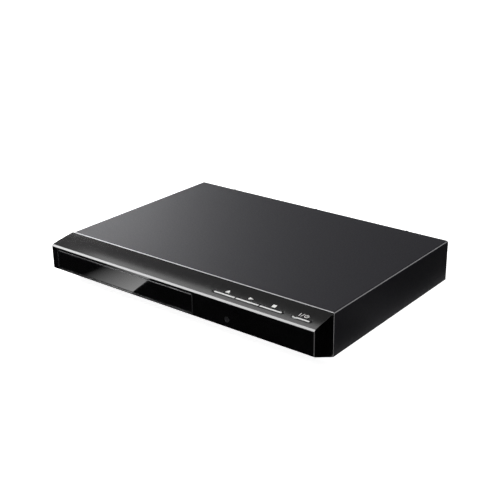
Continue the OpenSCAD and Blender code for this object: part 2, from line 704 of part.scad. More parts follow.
// Square belt around the two pulleys: an outer outline less an inner one
module drive_belt() color([0.08, 0.08, 0.08]) at_loader() {
  dx = motor_cx - pulley_cx;
  dy = motor_cy - pulley_cy;
  translate([pulley_cx, pulley_cy, pulley_z + 1.3 - belt_w / 2]) rotate([0, 0, atan2(dy, dx)])
    linear_extrude(belt_w) difference() {
      belt_outline(norm([dx, dy]), belt_seat + belt_w / 2);
      belt_outline(norm([dx, dy]), belt_seat - belt_w / 2);
    }
}

// Closed line around both pulleys, standing off their grooves by off
module belt_outline(dist, off) {
  big = pulley_r + off;
  small = motor_pulley_r + off;
  lean = asin((big - small) / dist);
  polygon([
    for (i = [0:24]) spot(big, 90 - lean + i * (180 + 2 * lean) / 24),
    for (i = [0:12]) [dist, 0] + spot(small, lean - 90 + i * (180 - 2 * lean) / 12)]);
}

module pulley_gear() color([0.88, 0.88, 0.85]) at_loader() translate([pulley_cx, pulley_cy, 0]) difference() {
  union() {
    translate([0, 0, pulley_z]) grooved_pulley(pulley_r, 2.6);
    translate([0, 0, pulley_z + 2]) rotate([0, 0, pinion_phase()]) linear_extrude(gear_z + 2.6 - pulley_z - 2)
      gear_shape(pinion_teeth, gear_mod);
  }
  post(0, 0, 0, 30, post_r + run_gap);
}

// Turns the pinion so that its teeth fall between those of the tray gear
function pinion_phase() = let (p = mesh_a * tray_gear_teeth / 360, a = p - floor(p))
  mesh_a + 180 - (0.5 - a) * 360 / pinion_teeth;

module tray_gear() color([0.9, 0.9, 0.87]) at_loader() translate([gear_cx, gear_y, 0]) difference() {
  union() {
    translate([0, 0, gear_z]) linear_extrude(2.6) gear_shape(tray_gear_teeth, gear_mod);
    translate([0, 0, pulley_z]) cylinder(r = cam_gear_r - 2.4, h = gear_z - pulley_z + 0.1);
    // lower teeth on one side only, which pick up the cam slider's rack
    translate([0, 0, pulley_z]) linear_extrude(2.6) intersection() {
      gear_shape(cam_gear_teeth, gear_mod);
      polygon([[0, 0], spot(30, -50), spot(30, -10), spot(30, 30)]);
    }
  }
  post(0, 0, 0, 30, post_r + run_gap);
  for (a = [0:60:300]) rotate([0, 0, a]) post(8.6, 0, gear_z - 1, gear_z + 4, 2.6);
}

module cam_slider() color([0.86, 0.86, 0.84]) at_loader() {
  z_low = cam_pin_z - cam_rise;
  x0 = -37.5;
  x1 = 24;
  difference() {
    block([x0, slider_y0, 2.2], [x1, slider_y1, pulley_z + 2.6]);
    for (x = cam_pin_x) cam_track(x, z_low);
    for (x = [-9, 21.2]) block([x - 2, slider_y0 - 1, 5], [x + 0.8, slider_y1 + 1, 10]);
  }
  // arm over the deck with the short rack that the tray gear drives
  arm_x1 = gear_cx - 7.1;
  block([arm_x1 - 14, gear_y + cam_gear_r + 2, pulley_z + 0.1], [arm_x1, slider_y1, pulley_z + 2.5]);
  translate([arm_x1, gear_y + cam_gear_r, pulley_z + 0.1]) rotate([0, 0, 90]) linear_extrude(2.4)
    rack_shape(4, gear_mod, 2.2);
}

// Sloping track for one lift pin, with a short level stretch at each end
module cam_track(x, z_low) {
  w = cam_pin_r + 0.5;
  a = atan2(cam_rise, cam_travel);
  for (p = [[x + 1.2, z_low], [x, z_low], [x - cam_travel, cam_pin_z], [x - cam_travel - 1.2, cam_pin_z]])
    bar_y(p[0], p[1], slider_y0 - 1, slider_y1 + 1, w);
  block([x, slider_y0 - 1, z_low - w], [x + 1.2, slider_y1 + 1, z_low + w]);
  block([x - cam_travel - 1.2, slider_y0 - 1, cam_pin_z - w], [x - cam_travel, slider_y1 + 1, cam_pin_z + w]);
  translate([x, slider_y0 - 1, z_low]) rotate([0, a, 0])
    block([-norm([cam_travel, cam_rise]), 0, -w], [0, slider_y1 - slider_y0 + 2, w]);
}

// ---------- lift mechanism ----------

module lift_frame() color([0.14, 0.14, 0.15]) lowered() difference() {
  union() {
    difference() {
      block([-frame_x, frame_y0, frame_z0], [frame_x, frame_y1, frame_z1]);
      block([-frame_in_x, frame_y0 + frame_wall, frame_z0 - 1],
            [frame_in_x, frame_y1 - frame_wall, frame_z1 + 1]);
    }
    for (p = damper_xy) post(p[0], p[1], frame_z0, frame_z1, 4.6);
    for (x = cam_pin_x) bar_y(x, cam_pin_z, slider_y0 + 0.3, frame_y0 + 1, cam_pin_r);
    for (x = [-frame_x - 5, frame_x - 1]) bar_x(pivot_y, pivot_z, x, x + 6, pivot_r);
  }
  for (p = damper_xy) post(p[0], p[1], frame_z0 - 1, frame_z1 + 1, screw_r + screw_gap);
}

module traverse_chassis() color([0.78, 0.79, 0.8]) lowered() difference() {
  union() {
    block([-plate_x, frame_y0 + 1, plate_z], [plate_x, frame_y1 - 6, plate_z + plate_t]);
    // lobes that rest on the rubber dampers
    for (p = damper_xy) {
      neck_x = sign(p[0]) * (plate_x - 2);
      post(p[0], p[1], plate_z, plate_z + plate_t, damper_lobe_r);
      translate([0, p[1], plate_z])
        block([min(p[0], neck_x), -damper_lobe_r, 0], [max(p[0], neck_x), damper_lobe_r, plate_t]);
    }
    // folded side flanges
    for (x = [-plate_x, plate_x - plate_t])
      block([x, 66, plate_z - 4.5], [x + plate_t, rail_y1, plate_z + 0.5]);
    // brackets of the rails
    for (x = [-rail_x, rail_x], y = [rail_y0 - 0.5, rail_y1 - 3])
      block([x - 3, y, rails_z - 3], [x + 3, y + 3.5, plate_z + 0.5]);
    // brackets of the lead screw
    for (y = [rail_y0 + 0.5, rail_y1 - 13.4])
      block([screw_x - 3.5, y, screw_z - 3.5], [screw_x + 3.5, y + 1.5, plate_z + 0.5]);
  }
  for (p = damper_xy) post(p[0], p[1], plate_z - 1, plate_z + 3, 3);
  post(0, disc_y, plate_z - 1, plate_z + 3, 3.7);
  block([-20, disc_y + 14.5, plate_z - 1], [20, rail_y1 + 3.5, plate_z + 3]);
  for (x = [-34, 34], y = [70, 112]) post(x, y, plate_z - 1, plate_z + 3, 5);
  for (x = [-rail_x, rail_x]) bar_y(x, rails_z, rail_y0, rail_y1, rail_r + 0.02);
  bar_y(screw_x, screw_z, rail_y0 - 1, rail_y1, 1 + run_gap);
}

module dampers() color([0.07, 0.07, 0.07]) lowered() for (p = damper_xy) translate([p[0], p[1], 0])
  difference() {
    union() {
      post(0, 0, frame_z1 + 0.02, plate_z - 0.02, damper_r);
      post(0, 0, frame_z1 + 0.02, plate_z + plate_t + 0.6, 2.9);
      post(0, 0, plate_z + plate_t + 0.02, plate_z + plate_t + 0.62, damper_r);
    }
    post(0, 0, frame_z1 - 1, plate_z + 5, screw_r + screw_gap);
  }

module damper_screws() color([0.6, 0.6, 0.62]) lowered() for (p = damper_xy)
  translate([p[0], p[1], plate_z + plate_t + 0.64]) {
    cylinder(r = 3.3, h = 0.7);
    translate([0, 0, -8]) cylinder(r = screw_r, h = 8.1);
  }

module spindle_motor() color([0.76, 0.77, 0.78]) lowered() translate([0, disc_y, 0]) difference() {
  union() {
    post(0, 0, plate_z - motor_h, plate_z - 0.02, motor_r);
    post(0, 0, plate_z - 1, plate_z + plate_t + 0.15, 3.5);
  }
  post(0, 0, plate_z - motor_h + 1, plate_z + 5, 1 + run_gap);
}

module turntable() color([0.12, 0.12, 0.13]) lowered() translate([0, disc_y, 0]) {
  difference() {
    post(0, 0, plate_z + plate_t + 0.5, seat_z - 0.55, turntable_r);
    rotate_extrude() translate([11.4, seat_z - 2.2]) square([1.8, 0.6]);
  }
  post(0, 0, seat_z - 0.6, seat_z, 9.9);
  translate([0, 0, seat_z - 0.1]) cylinder(r1 = cone_r, r2 = cone_r - 1.1, h = cone_h + 0.1);
  post(0, 0, plate_z - motor_h + 1.5, seat_z - 1, 1);
}

module turntable_mat() color([0.05, 0.05, 0.05]) lowered() translate([0, disc_y, 0]) difference() {
  post(0, 0, seat_z - 0.54, seat_z + 0.02, turntable_r - 0.3);
  post(0, 0, seat_z - 2, seat_z + 1, 10);
}

module guide_rails() color([0.85, 0.86, 0.88]) lowered()
  for (x = [-rail_x, rail_x]) bar_y(x, rails_z, rail_y0 + 0.1, rail_y1 - 0.1, rail_r);

module pickup_body() color([0.45, 0.46, 0.48]) lowered() {
  nut_y = lens_y - 1.5;
  difference() {
    union() {
      block([-pickup_x, disc_y + 9.5, 8.7], [pickup_x, pickup_y1, 16.4]);
      for (y = [lens_y - 9, lens_y + 9])
        block([-rail_x - 3.2, y, rails_z - 3], [1 - pickup_x, y + 6, rails_z + 3]);
      block([pickup_x - 1, lens_y - 1.5, rails_z - 2.9], [rail_x + 2.9, lens_y + 6.5, rails_z + 2.9]);
      // arm and half nut of the lead screw
      block([pickup_x - 1, nut_y, 8.7], [screw_x + 3, nut_y + 6, 9.7]);
      block([screw_x - 3.4, nut_y, 8.7], [screw_x + 3.4, nut_y + 6, screw_z + 3.2]);
      // actuator base around the lens
      block([-9, lens_y - 6.8, 16.3], [9, lens_y + 6.8, 17]);
      for (s = [-1, 1]) block([s * 8 - 1, lens_y - 4, 16.3], [s * 8 + 1, lens_y + 4, 20.3]);
    }
    post(0, disc_y, 5, 25, 14.2);
    bar_y(-rail_x, rails_z, lens_y - 10, lens_y + 30, rail_r + run_gap);
    block([rail_x - 2.6, lens_y - 3, rails_z - rail_r - 0.08],
          [rail_x + 5, lens_y + 10, rails_z + rail_r + 0.08]);
    bar_y(screw_x, screw_z, nut_y - 1, nut_y + 8, rail_r + 0.08);
    for (x = [-15, 15]) post(x, lens_y + 11, 12, 20, 3);
  }
}

module objective_lens() color([0.35, 0.45, 0.6]) lowered() {
  difference() {
    block([-6, lens_y - 5, 17.9], [6, lens_y + 5, 20.9]);
    post(0, lens_y, 17, 22, 3);
  }
  translate([0, lens_y, 19.4]) cylinder(r = 3, h = 1.4);
  translate([0, lens_y, 16.75]) intersection() {
    sphere(r = 5);
    translate([0, 0, 4]) cylinder(r = 2.8, h = 2);
  }
}

module sled_motor() color([0.75, 0.76, 0.77]) lowered() difference() {
  bar_y(screw_x, screw_z, rail_y1 - 11.86, rail_y1 + 0.6, 6);
  bar_y(screw_x, screw_z, rail_y1 - 13, rail_y1 - 2, 1 + run_gap);
}

module lead_screw() color([0.8, 0.81, 0.83]) lowered() {
  bar_y(screw_x, screw_z, rail_y0 + 2.4, rail_y1 - 13.8, rail_r);
  bar_y(screw_x, screw_z, rail_y0 + 0.2, rail_y1 - 3, 1);
}

module clamp_bridge() color([0.74, 0.75, 0.76]) at_loader() difference() {
  union() {
    block([-loader_out, disc_y - bridge_hw, bridge_z + 0.02],
          [loader_out, disc_y + bridge_hw, bridge_z + bridge_t]);
    // stiffening flanges along both long edges
    for (y = [disc_y - bridge_hw, disc_y + bridge_hw - bridge_t])
      block([-loader_in + 6, y, bridge_z + 1], [loader_in - 6, y + bridge_t, bridge_z + 4]);
  }
  post(0, disc_y, bridge_z - 1, bridge_z + 3, clamp_hole_r);
  for (x = bridge_screw_x, y = bridge_screw_y)
    post(x, y, bridge_z - 1, bridge_z + 3, bridge_screw_r + 0.04);
  for (x = [-40, 40]) post(x, disc_y, bridge_z - 1, bridge_z + 3, 7);
}

module clamper() color([0.9, 0.9, 0.88]) at_loader() translate([0, disc_y, 0]) rotate_extrude() difference() {
  union() {
    translate([0, seat_z + 1.3]) square([clamp_hole_r - 0.4, bridge_z + bridge_t - seat_z - 1]);
    translate([0, bridge_z + bridge_t + 0.1]) square([clamp_disc_r, 1]);
    translate([8.2, bridge_z + bridge_t + 0.2]) square([1.2, 3]);
  }
  // hollow over the turntable's cone
  translate([-1, seat_z]) square([clamp_hollow_r + 1, 4.2]);
}

module clamp_magnet() color([0.25, 0.25, 0.27]) at_loader() translate([0, disc_y, 0])
  post(0, 0, bridge_z + bridge_t + 1.12, bridge_z + bridge_t + 3, 8);

// ---------- electronics ----------

module main_board() color([0.1, 0.36, 0.2]) difference() {
  block([main_x0, main_y0, board_z + 0.02], [main_x1, board_y1, board_top]);
  for (p = board_posts()) post(p[0], p[1], board_z - 1, board_top + 1, screw_r + 0.2);
}

module power_board() color([0.55, 0.42, 0.22]) difference() {
  block([power_x0, power_y0, board_z + 0.02], [power_x1, board_y1, board_top]);
  for (p = board_posts()) post(p[0], p[1], board_z - 1, board_top + 1, screw_r + 0.2);
}

module board_screws() color([0.6, 0.6, 0.62]) for (p = board_posts())
  translate([p[0], p[1], board_top + 0.02]) screw_down(5.5, 2.8);

// A chip body with a row of legs on two or four sides
module chip(x, y, w, d, h, legs, four) translate([x, y, board_top + 0.02]) {
  translate([-w / 2, -d / 2, 0.15]) cube([w, d, h]);
  for (a = four ? [0, 90] : [0]) rotate([0, 0, a]) for (i = [0:legs - 1])
    translate([-w / 2 - 1.2, -d * 0.44 + i * d * 0.88 / (legs - 1) - 0.3, 0]) cube([w + 2.4, 0.6, 0.5]);
}

module board_chips() color([0.08, 0.08, 0.09]) {
  cx = (main_x0 + main_x1) / 2;
  chip(cx - 6, main_y0 + 46, 24, 24, 1.6, 11, true);
  chip(cx + 13.6, main_y0 + 46, 8, 18, 1.1, 9, false);
  chip(cx - 6, main_y0 + 19, 11, 15, 2, 8, false);
  chip(cx - 5, main_y0 + 72, 8, 12, 1.4, 6, false);
  chip(cx + 10, main_y0 + 74, 6, 8, 1.4, 4, false);
}

module board_capacitors() color([0.12, 0.14, 0.25]) {
  cx = (main_x0 + main_x1) / 2;
  for (p = [[-18, 66], [-18, 76], [14, 22], [14, 32], [8, 88], [20, 84]])
    can(cx + p[0], main_y0 + p[1], 2.6, 7);
}

// Electrolytic can with a rolled groove and a rubber foot
module can(x, y, r, h) translate([x, y, board_top + 0.02]) rotate_extrude() difference() {
  square([r, h]);
  translate([r + 0.25, h * 0.16]) circle(r = 0.55, $fn = 16);
}

module connectors() color([0.92, 0.9, 0.84]) {
  for (p = connector_places()) translate([p[0], p[1], board_top + 0.02]) difference() {
    cube([p[2], p[3], 6]);
    translate([0.8, 0.8, 1.2]) cube([p[2] - 1.6, p[3] - 1.6, 6]);
  }
}

// Low corner and size of each board connector
function connector_places() = [
  [main_x1 - 7, main_y0 + 48, 5, 20], [power_x0 + 2, main_y0 + 48, 5, 20],
  [main_x0 + 22, main_y0 + 1, 16, 5], [main_x0 + 1.5, main_y0 + 30, 5, 14],
  [power_x0 + 14, power_y0 + 2, 10, 5]];

module ribbon_cables() color([0.75, 0.76, 0.78]) {
  z = board_top + 2;
  // arch between the two boards
  translate([0, main_y0 + 50, 0]) rotate([90, 0, 0]) translate([0, 0, -16]) linear_extrude(16)
    arch(main_x1 - 4.5, power_x0 + 4.5, z, 8);
  // lead from the main board to the key board
  along_x(main_x0 + 24, main_x0 + 36) lead_shape();
}

// Flat strip that rises from two sockets and crosses over, 0.8 thick
module arch(x0, x1, z, h) {
  translate([x0 - 0.4, z]) square([0.8, h]);
  translate([x1 - 0.4, z]) square([0.8, h]);
  translate([x0 - 0.4, z + h - 0.4]) square([x1 - x0 + 0.8, 0.8]);
}

// Flat strip from the main board's front socket forwards and up to the key board
module lead_shape() {
  y1 = main_y0 + 3.5;
  y0 = cover_y0 - 5;
  z0 = board_top + 2;
  z1 = top_z - 14;
  translate([y1 - 0.4, z0]) square([0.8, 8]);
  translate([y0 - 0.4, z0 + 7.6]) square([y1 - y0 + 0.8, 0.8]);
  translate([y0 - 0.4, z0 + 7.6]) square([0.8, z1 - z0 - 7.6]);
}

module jack_blocks() color([0.07, 0.07, 0.08]) difference() {
  union() {
    block([jack_x0 - 7, jack_block_y, board_top + 0.02],
          [jack_x0 + 2 * jack_pitch + 6.6, rear_in_y - 0.2, jack_z[1] + 6]);
    block([coax_x - 6, jack_block_y, board_top + 0.02], [coax_x + 6, rear_in_y - 0.2, jack_z[0] + 6]);
  }
  for (p = jack_spots()) bar_y(p[0], p[1], jack_block_y + 6, rear_in_y + 1, jack_neck_r + 0.03);
  for (x = jack_screw_x()) bar_y(x, jack_screw_z(), rear_in_y - 6, rear_in_y + 1, screw_r + screw_gap);
}

function jack_spots() = concat([for (x = jack_x, z = jack_z) [x, z]], [[coax_x, jack_z[0]]]);

// Shell with a slim neck in its block and collar, and its full size behind the collar
module jack_shells() color([0.8, 0.8, 0.82]) for (p = jack_spots()) difference() {
  union() {
    bar_y(p[0], p[1], jack_block_y + 6.1, collar_y1 + 0.5, jack_neck_r);
    bar_y(p[0], p[1], collar_y1, rear_y, jack_r);
  }
  bar_y(p[0], p[1], jack_block_y + 8, rear_y + 1, jack_bore_r);
}

module jack_inserts() for (p = jack_spots()) {
  color(jack_colour(p)) difference() {
    bar_y(p[0], p[1], jack_block_y + 8.05, rear_y - 0.8, jack_bore_r - 0.02);
    bar_y(p[0], p[1], jack_block_y + 9.5, rear_y, 1.65);
  }
  color(jack_colour(p)) difference() {
    bar_y(p[0], p[1], rear_out_y + 0.02, collar_y1, collar_r);
    bar_y(p[0], p[1], rear_out_y - 1, collar_y1 + 1, jack_neck_r + 0.05);
  }
}

// Component jacks above, then video, left, right and the digital one
function jack_colour(p) = p[0] == coax_x ? "orange"
  : p[1] == jack_z[1] ? (p[0] == jack_x[0] ? "red" : p[0] == jack_x[1] ? "blue" : "green")
  : (p[0] == jack_x[0] ? "red" : p[0] == jack_x[1] ? "white" : "gold");

module transformer() {
  x = (power_x0 + power_x1) / 2 - 4;
  y = power_y0 + 78;
  color([0.2, 0.2, 0.21]) {
    block([x - 12, y - 9, board_top + 0.02], [x + 12, y - 5, board_top + 19]);
    block([x - 12, y + 5, board_top + 0.02], [x + 12, y + 9, board_top + 19]);
    block([x - 12, y - 6, board_top + 14], [x + 12, y + 6, board_top + 19]);
    block([x - 12, y - 6, board_top + 0.02], [x + 12, y + 6, board_top + 4]);
    block([x - 8, y - 6, board_top + 3], [x + 8, y + 6, board_top + 15]);
  }
}

module power_capacitors() color([0.1, 0.1, 0.12]) {
  can(power_x0 + 32, power_y0 + 96, 8, 22);
  for (p = [[8, 14, 5, 14], [20, 14, 5, 14], [32, 18, 4, 11], [10, 28, 4, 11]])
    can(power_x0 + p[0], power_y0 + p[1], p[2], p[3]);
}

module line_filter() color([0.3, 0.22, 0.1]) {
  x = power_x0 + 13;
  y = power_y0 + 124;
  difference() {
    block([x - 9, y - 7, board_top + 0.02], [x + 9, y + 7, board_top + 15]);
    block([x - 5, y - 8, board_top + 4], [x + 5, y + 8, board_top + 11]);
  }
  block([x - 7.5, y - 6, board_top + 3.9], [x - 2, y + 6, board_top + 11.1]);
  block([x + 2, y - 6, board_top + 3.9], [x + 7.5, y + 6, board_top + 11.1]);
}

module heat_sink() color([0.75, 0.76, 0.78]) {
  x = power_x0 + 3;
  y = power_y0 + 40;
  block([x, y, board_top + 0.02], [x + 1.6, y + 26, board_top + 20]);
  for (i = [0:5]) translate([x, y + i * 4.88, board_top + 2]) cube([7, 1.6, 18]);
}

module fuse() {
  x = power_x0 + 38;
  y = power_y0 + 124;
  color([0.8, 0.8, 0.78]) for (s = [-7, 7]) difference() {
    block([x - 3.2, y + s - 2, board_top + 0.02], [x + 3.2, y + s + 2, board_top + 7]);
    bar_y(x, board_top + 4.6, y - 12, y + 12, 2.6);
  }
  color([0.9, 0.9, 0.92]) bar_y(x, board_top + 4.6, y - 10, y + 10, 2.57);
}

module mains_inlet() color([0.06, 0.06, 0.07]) difference() {
  union() {
    block([inlet_x - inlet_hw, rear_in_y - 16, board_top + 0.02],
          [inlet_x + inlet_hw, rear_in_y - 0.1, inlet_z + inlet_hh]);
    block([inlet_x - inlet_hw, rear_in_y - 1, inlet_z - inlet_hh],
          [inlet_x + inlet_hw, rear_out_y + 0.1, inlet_z + inlet_hh]);
    translate([inlet_x, rear_out_y + 0.02, inlet_z]) rotate([-90, 0, 0]) linear_extrude(1.6)
      round_rect(2 * inlet_hw + 4, 2 * inlet_hh + 2.4, 2);
  }
  for (s = [-1, 1]) bar_y(inlet_x + s * inlet_pitch / 2, inlet_z, rear_in_y - 10, rear_out_y + 3, inlet_r);
  block([inlet_x - inlet_pitch / 2, rear_in_y - 10, inlet_z - 3.2],
        [inlet_x + inlet_pitch / 2, rear_out_y + 3, inlet_z + 3.2]);
  for (s = [-1, 1]) bar_y(inlet_x + s * inlet_pitch / 2, inlet_z, rear_in_y - 15, rear_out_y, 1.22);
}

module inlet_pins() color([0.82, 0.78, 0.6]) for (s = [-1, 1])
  bar_y(inlet_x + s * inlet_pitch / 2, inlet_z, rear_in_y - 14.9, rear_out_y - 1, 1.18);

module insulation_sheet() color([0.85, 0.86, 0.82]) difference() {
  block([power_x0 - 1, power_y0 + 10, floor_z + 1.4], [power_x1 + 0.6, board_y1 - 34, floor_z + 1.8]);
  for (p = board_posts()) post(p[0], p[1], floor_z, board_z, board_post_r + 0.02);
}

module front_board() color([0.55, 0.42, 0.22]) on_slope() difference() {
  block([strip_x0 - 6, -22, -front_board_depth - front_board_t], [half_w - 3.4, -6, -front_board_depth]);
  for (x = key_board_screws()) translate([x, boss_y, -front_board_depth - 3])
    cylinder(r = screw_r + screw_gap, h = 5);
}

module key_switches() color([0.12, 0.12, 0.13]) on_slope() {
  for (x = key_centres()) translate([x, -key_line, -front_board_depth + 0.02]) {
    translate([-3, -3, 0]) cube([6, 6, switch_h - 0.8]);
    cylinder(r = 1.7, h = switch_h);
  }
  for (x = key_board_screws()) translate([x, boss_y, -front_board_depth - front_board_t - 0.02])
    mirror([0, 0, 1]) screw_down(5, 2.3);
}

function key_centres() = [for (x = key_x) x + key_len / 2, power_key_x0 + power_key_l / 2];

// Silver bar with a flange under the wall and a foot over its switch
module key(x, l) color([0.78, 0.79, 0.8]) on_slope() translate([x, -key_line, key_rise]) {
  hw = key_bar_w / 2;
  flange_z = -panel_t - 1.1;
  foot_z = -key_rise - front_board_depth + 0.1 + switch_h + key_travel;
  block([0, -hw, flange_z], [l, hw, -0.1]);
  block([-0.1, -hw - 1.1, flange_z], [l + 0.1, hw + 1.1, -panel_t - 0.3]);
  translate([l / 2, 0, foot_z]) cylinder(r = 1.6, h = flange_z - foot_z + 0.2);
}

module open_key() key(key_x[0], key_len);
module play_key() key(key_x[1], key_len);
module stop_key() key(key_x[2], key_len);
module power_key() key(power_key_x0, power_key_l);

module lamp_lens() color([0.9, 0.92, 0.95]) on_slope() translate([lamp_x, -key_line, 0]) {
  translate([0, 0, -front_board_depth + 0.02])
    cylinder(r = lamp_r, h = front_board_depth - groove_depth + key_rise + 0.1);
  translate([0, 0, key_rise - panel_t - 1.2]) cylinder(r = lamp_r + 0.7, h = 1.1);
}

module infrared_window() color([0.15, 0.02, 0.04]) {
  bar_y(window_x, window_z, front_y + 0.15, front_y + panel_t + 0.5, window_r);
  bar_y(window_x, window_z, front_y + panel_t + 0.02, front_y + panel_t + 0.9, window_r + 1);
}

module infrared_receiver() color([0.1, 0.1, 0.11]) {
  y0 = front_y + panel_t + 1.3;
  block([window_x - 3, y0, window_z - 3], [window_x + 3, y0 + 4, window_z + 3]);
  // legs that end at the underside of the key board
  difference() {
    for (s = [-2.5, 0, 2.5]) translate([window_x + s - 0.3, y0 + 2.7, window_z + 2]) cube([0.6, 0.6, 12]);
    on_slope() translate([0, -60, -front_board_depth - front_board_t - 0.02]) cube([200, 80, 30]);
  }
}

top_cover();
base_chassis();
rear_panel();
front_panel();
feet();
cover_screws();
rear_screws();
tray_door();
disc_tray();
loader_frame();
loader_screws();
loading_motor();
motor_pulley();
drive_belt();
pulley_gear();
tray_gear();
cam_slider();
lift_frame();
traverse_chassis();
dampers();
damper_screws();
spindle_motor();
turntable();
turntable_mat();
guide_rails();
pickup_body();
objective_lens();
sled_motor();
lead_screw();
clamp_bridge();
clamper();
clamp_magnet();
main_board();
board_chips();
board_capacitors();
connectors();
board_screws();
jack_blocks();
jack_shells();
jack_inserts();
power_board();
transformer();
power_capacitors();
line_filter();
heat_sink();
fuse();
mains_inlet();
inlet_pins();
insulation_sheet();
ribbon_cables();
front_board();
key_switches();
infrared_receiver();
infrared_window();
lamp_lens();
open_key();
play_key();
stop_key();
power_key();
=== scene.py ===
"""Looks for a slim disc player with a tray.

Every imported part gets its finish. The printed symbols, the silver strips and the lead screw's thread are
modelled here, and a plain studio with the camera is set up round the player.
"""

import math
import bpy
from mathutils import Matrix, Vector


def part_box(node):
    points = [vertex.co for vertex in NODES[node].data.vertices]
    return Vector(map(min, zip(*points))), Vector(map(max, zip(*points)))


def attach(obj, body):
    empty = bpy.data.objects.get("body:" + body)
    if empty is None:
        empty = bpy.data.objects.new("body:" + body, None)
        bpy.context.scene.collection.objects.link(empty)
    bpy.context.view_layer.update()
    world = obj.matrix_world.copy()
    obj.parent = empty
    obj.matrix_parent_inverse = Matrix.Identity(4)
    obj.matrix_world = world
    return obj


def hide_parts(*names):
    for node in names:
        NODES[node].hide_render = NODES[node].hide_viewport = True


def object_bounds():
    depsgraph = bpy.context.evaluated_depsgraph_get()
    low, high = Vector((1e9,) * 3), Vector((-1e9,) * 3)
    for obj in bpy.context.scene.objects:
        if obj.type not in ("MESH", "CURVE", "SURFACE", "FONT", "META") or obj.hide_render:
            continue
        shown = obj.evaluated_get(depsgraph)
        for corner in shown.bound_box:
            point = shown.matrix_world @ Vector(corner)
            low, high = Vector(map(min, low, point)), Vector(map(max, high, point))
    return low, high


bl_info = {
    "name": "Slim disc player looks",
    "version": (1, 0, 0),
    "blender": (4, 5, 0),
    "location": "View3D > Sidebar > Disc player",
    "description": "Finishes, printed symbols, small parts and a studio for the packed disc player",
    "category": "Object",
}

import bpy
from bpy.props import FloatProperty, FloatVectorProperty, PointerProperty
from mathutils import Matrix, Vector

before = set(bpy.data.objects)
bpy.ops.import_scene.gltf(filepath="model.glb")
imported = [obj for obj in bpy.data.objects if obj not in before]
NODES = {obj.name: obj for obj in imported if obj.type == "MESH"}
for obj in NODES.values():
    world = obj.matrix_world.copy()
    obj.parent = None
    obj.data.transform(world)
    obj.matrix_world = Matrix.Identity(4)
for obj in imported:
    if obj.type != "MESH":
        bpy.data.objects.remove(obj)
CAD_LOW, CAD_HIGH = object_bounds()
IMAGE_SIDE = 499  # pixels


# ---------- sizes and colours that a user would change ----------


class PlayerFinishes(bpy.types.PropertyGroup):
    """Colours and textures of the visible parts"""

    cover_colour: FloatVectorProperty(
        name="Cover paint", description="Colour of the painted steel cover",
        subtype="COLOR", size=3, min=0, max=1, default=(0.0138, 0.0134, 0.0161))
    # the light grey of the cover's lip, folds and front corner is a painted highlight
    highlight_colour: FloatVectorProperty(
        name="Cover edges", description="Colour of the burnished edges of the cover",
        subtype="COLOR", size=3, min=0, max=1, default=(0.68, 0.68, 0.69))
    cover_grain: FloatProperty(
        name="Cover grain", description="Size of the paint's fine grain", unit="LENGTH", default=0.00045)
    gloss_colour: FloatVectorProperty(
        name="Gloss black", description="Colour of the polished front and door",
        subtype="COLOR", size=3, min=0, max=1, default=(0.0022, 0.0022, 0.0024))
    key_colour: FloatVectorProperty(
        name="Strip silver", description="Colour of the silver strips and of the lamp's plate",
        subtype="COLOR", size=3, min=0, max=1, default=(0.80, 0.80, 0.80))
    ink_colour: FloatVectorProperty(
        name="Printed symbols", description="Colour of the printed symbols",
        subtype="COLOR", size=3, min=0, max=1, default=(0.9, 0.9, 0.88))


class PlayerSizes(bpy.types.PropertyGroup):
    """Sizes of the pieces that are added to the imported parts"""

    symbol_size: FloatProperty(
        name="Symbol size", description="Height of a printed symbol", unit="LENGTH", default=0.0036)
    symbol_line: FloatProperty(
        name="Symbol offset", description="Distance of the symbols from the cover's front edge",
        unit="LENGTH", default=0.0128)
    ink_height: FloatProperty(
        name="Ink height", description="How far the printed ink stands up", unit="LENGTH", default=0.00003)
    strip_width: FloatProperty(
        name="Strip width", description="Width of the silver strips on the keys",
        unit="LENGTH", default=0.0015)
    strip_height: FloatProperty(
        name="Strip height", description="Thickness of the silver strips", unit="LENGTH", default=0.00012)
    plate_height: FloatProperty(
        name="Plate height", description="Height of the plate beside the lamp", unit="LENGTH", default=0.0005)
    strip_gap: FloatProperty(
        name="Strip gap", description="From a key's side to its strip", unit="LENGTH", default=0.0006)
    strip_end: FloatProperty(
        name="Strip end", description="From the end of a row of keys to its strip",
        unit="LENGTH", default=0.0017)
    thread_pitch: FloatProperty(
        name="Thread pitch", description="Pitch of the lead screw's thread", unit="LENGTH", default=0.003)
    thread_depth: FloatProperty(
        name="Thread depth", description="Depth of the lead screw's groove", unit="LENGTH", default=0.00028)


class PlayerStudio(bpy.types.PropertyGroup):
    """Where the camera stands and how it sees"""

    camera_distance: FloatProperty(
        name="Camera distance", description="Distance from the camera to its target",
        unit="LENGTH", default=0.8301)
    camera_azimuth: FloatProperty(
        name="Camera azimuth", description="Angle of the camera round the player",
        subtype="ANGLE", default=math.radians(37.833))
    camera_elevation: FloatProperty(
        name="Camera elevation", description="Angle of the camera above the horizon",
        subtype="ANGLE", default=math.radians(22.416))
    camera_roll: FloatProperty(
        name="Camera roll", description="Turn of the picture", subtype="ANGLE", default=math.radians(-0.546))
    focal_pixels: FloatProperty(
        name="Focal length in pixels", description="Focal length of the camera in pixels of the picture",
        default=968)


# ---------- node materials ----------


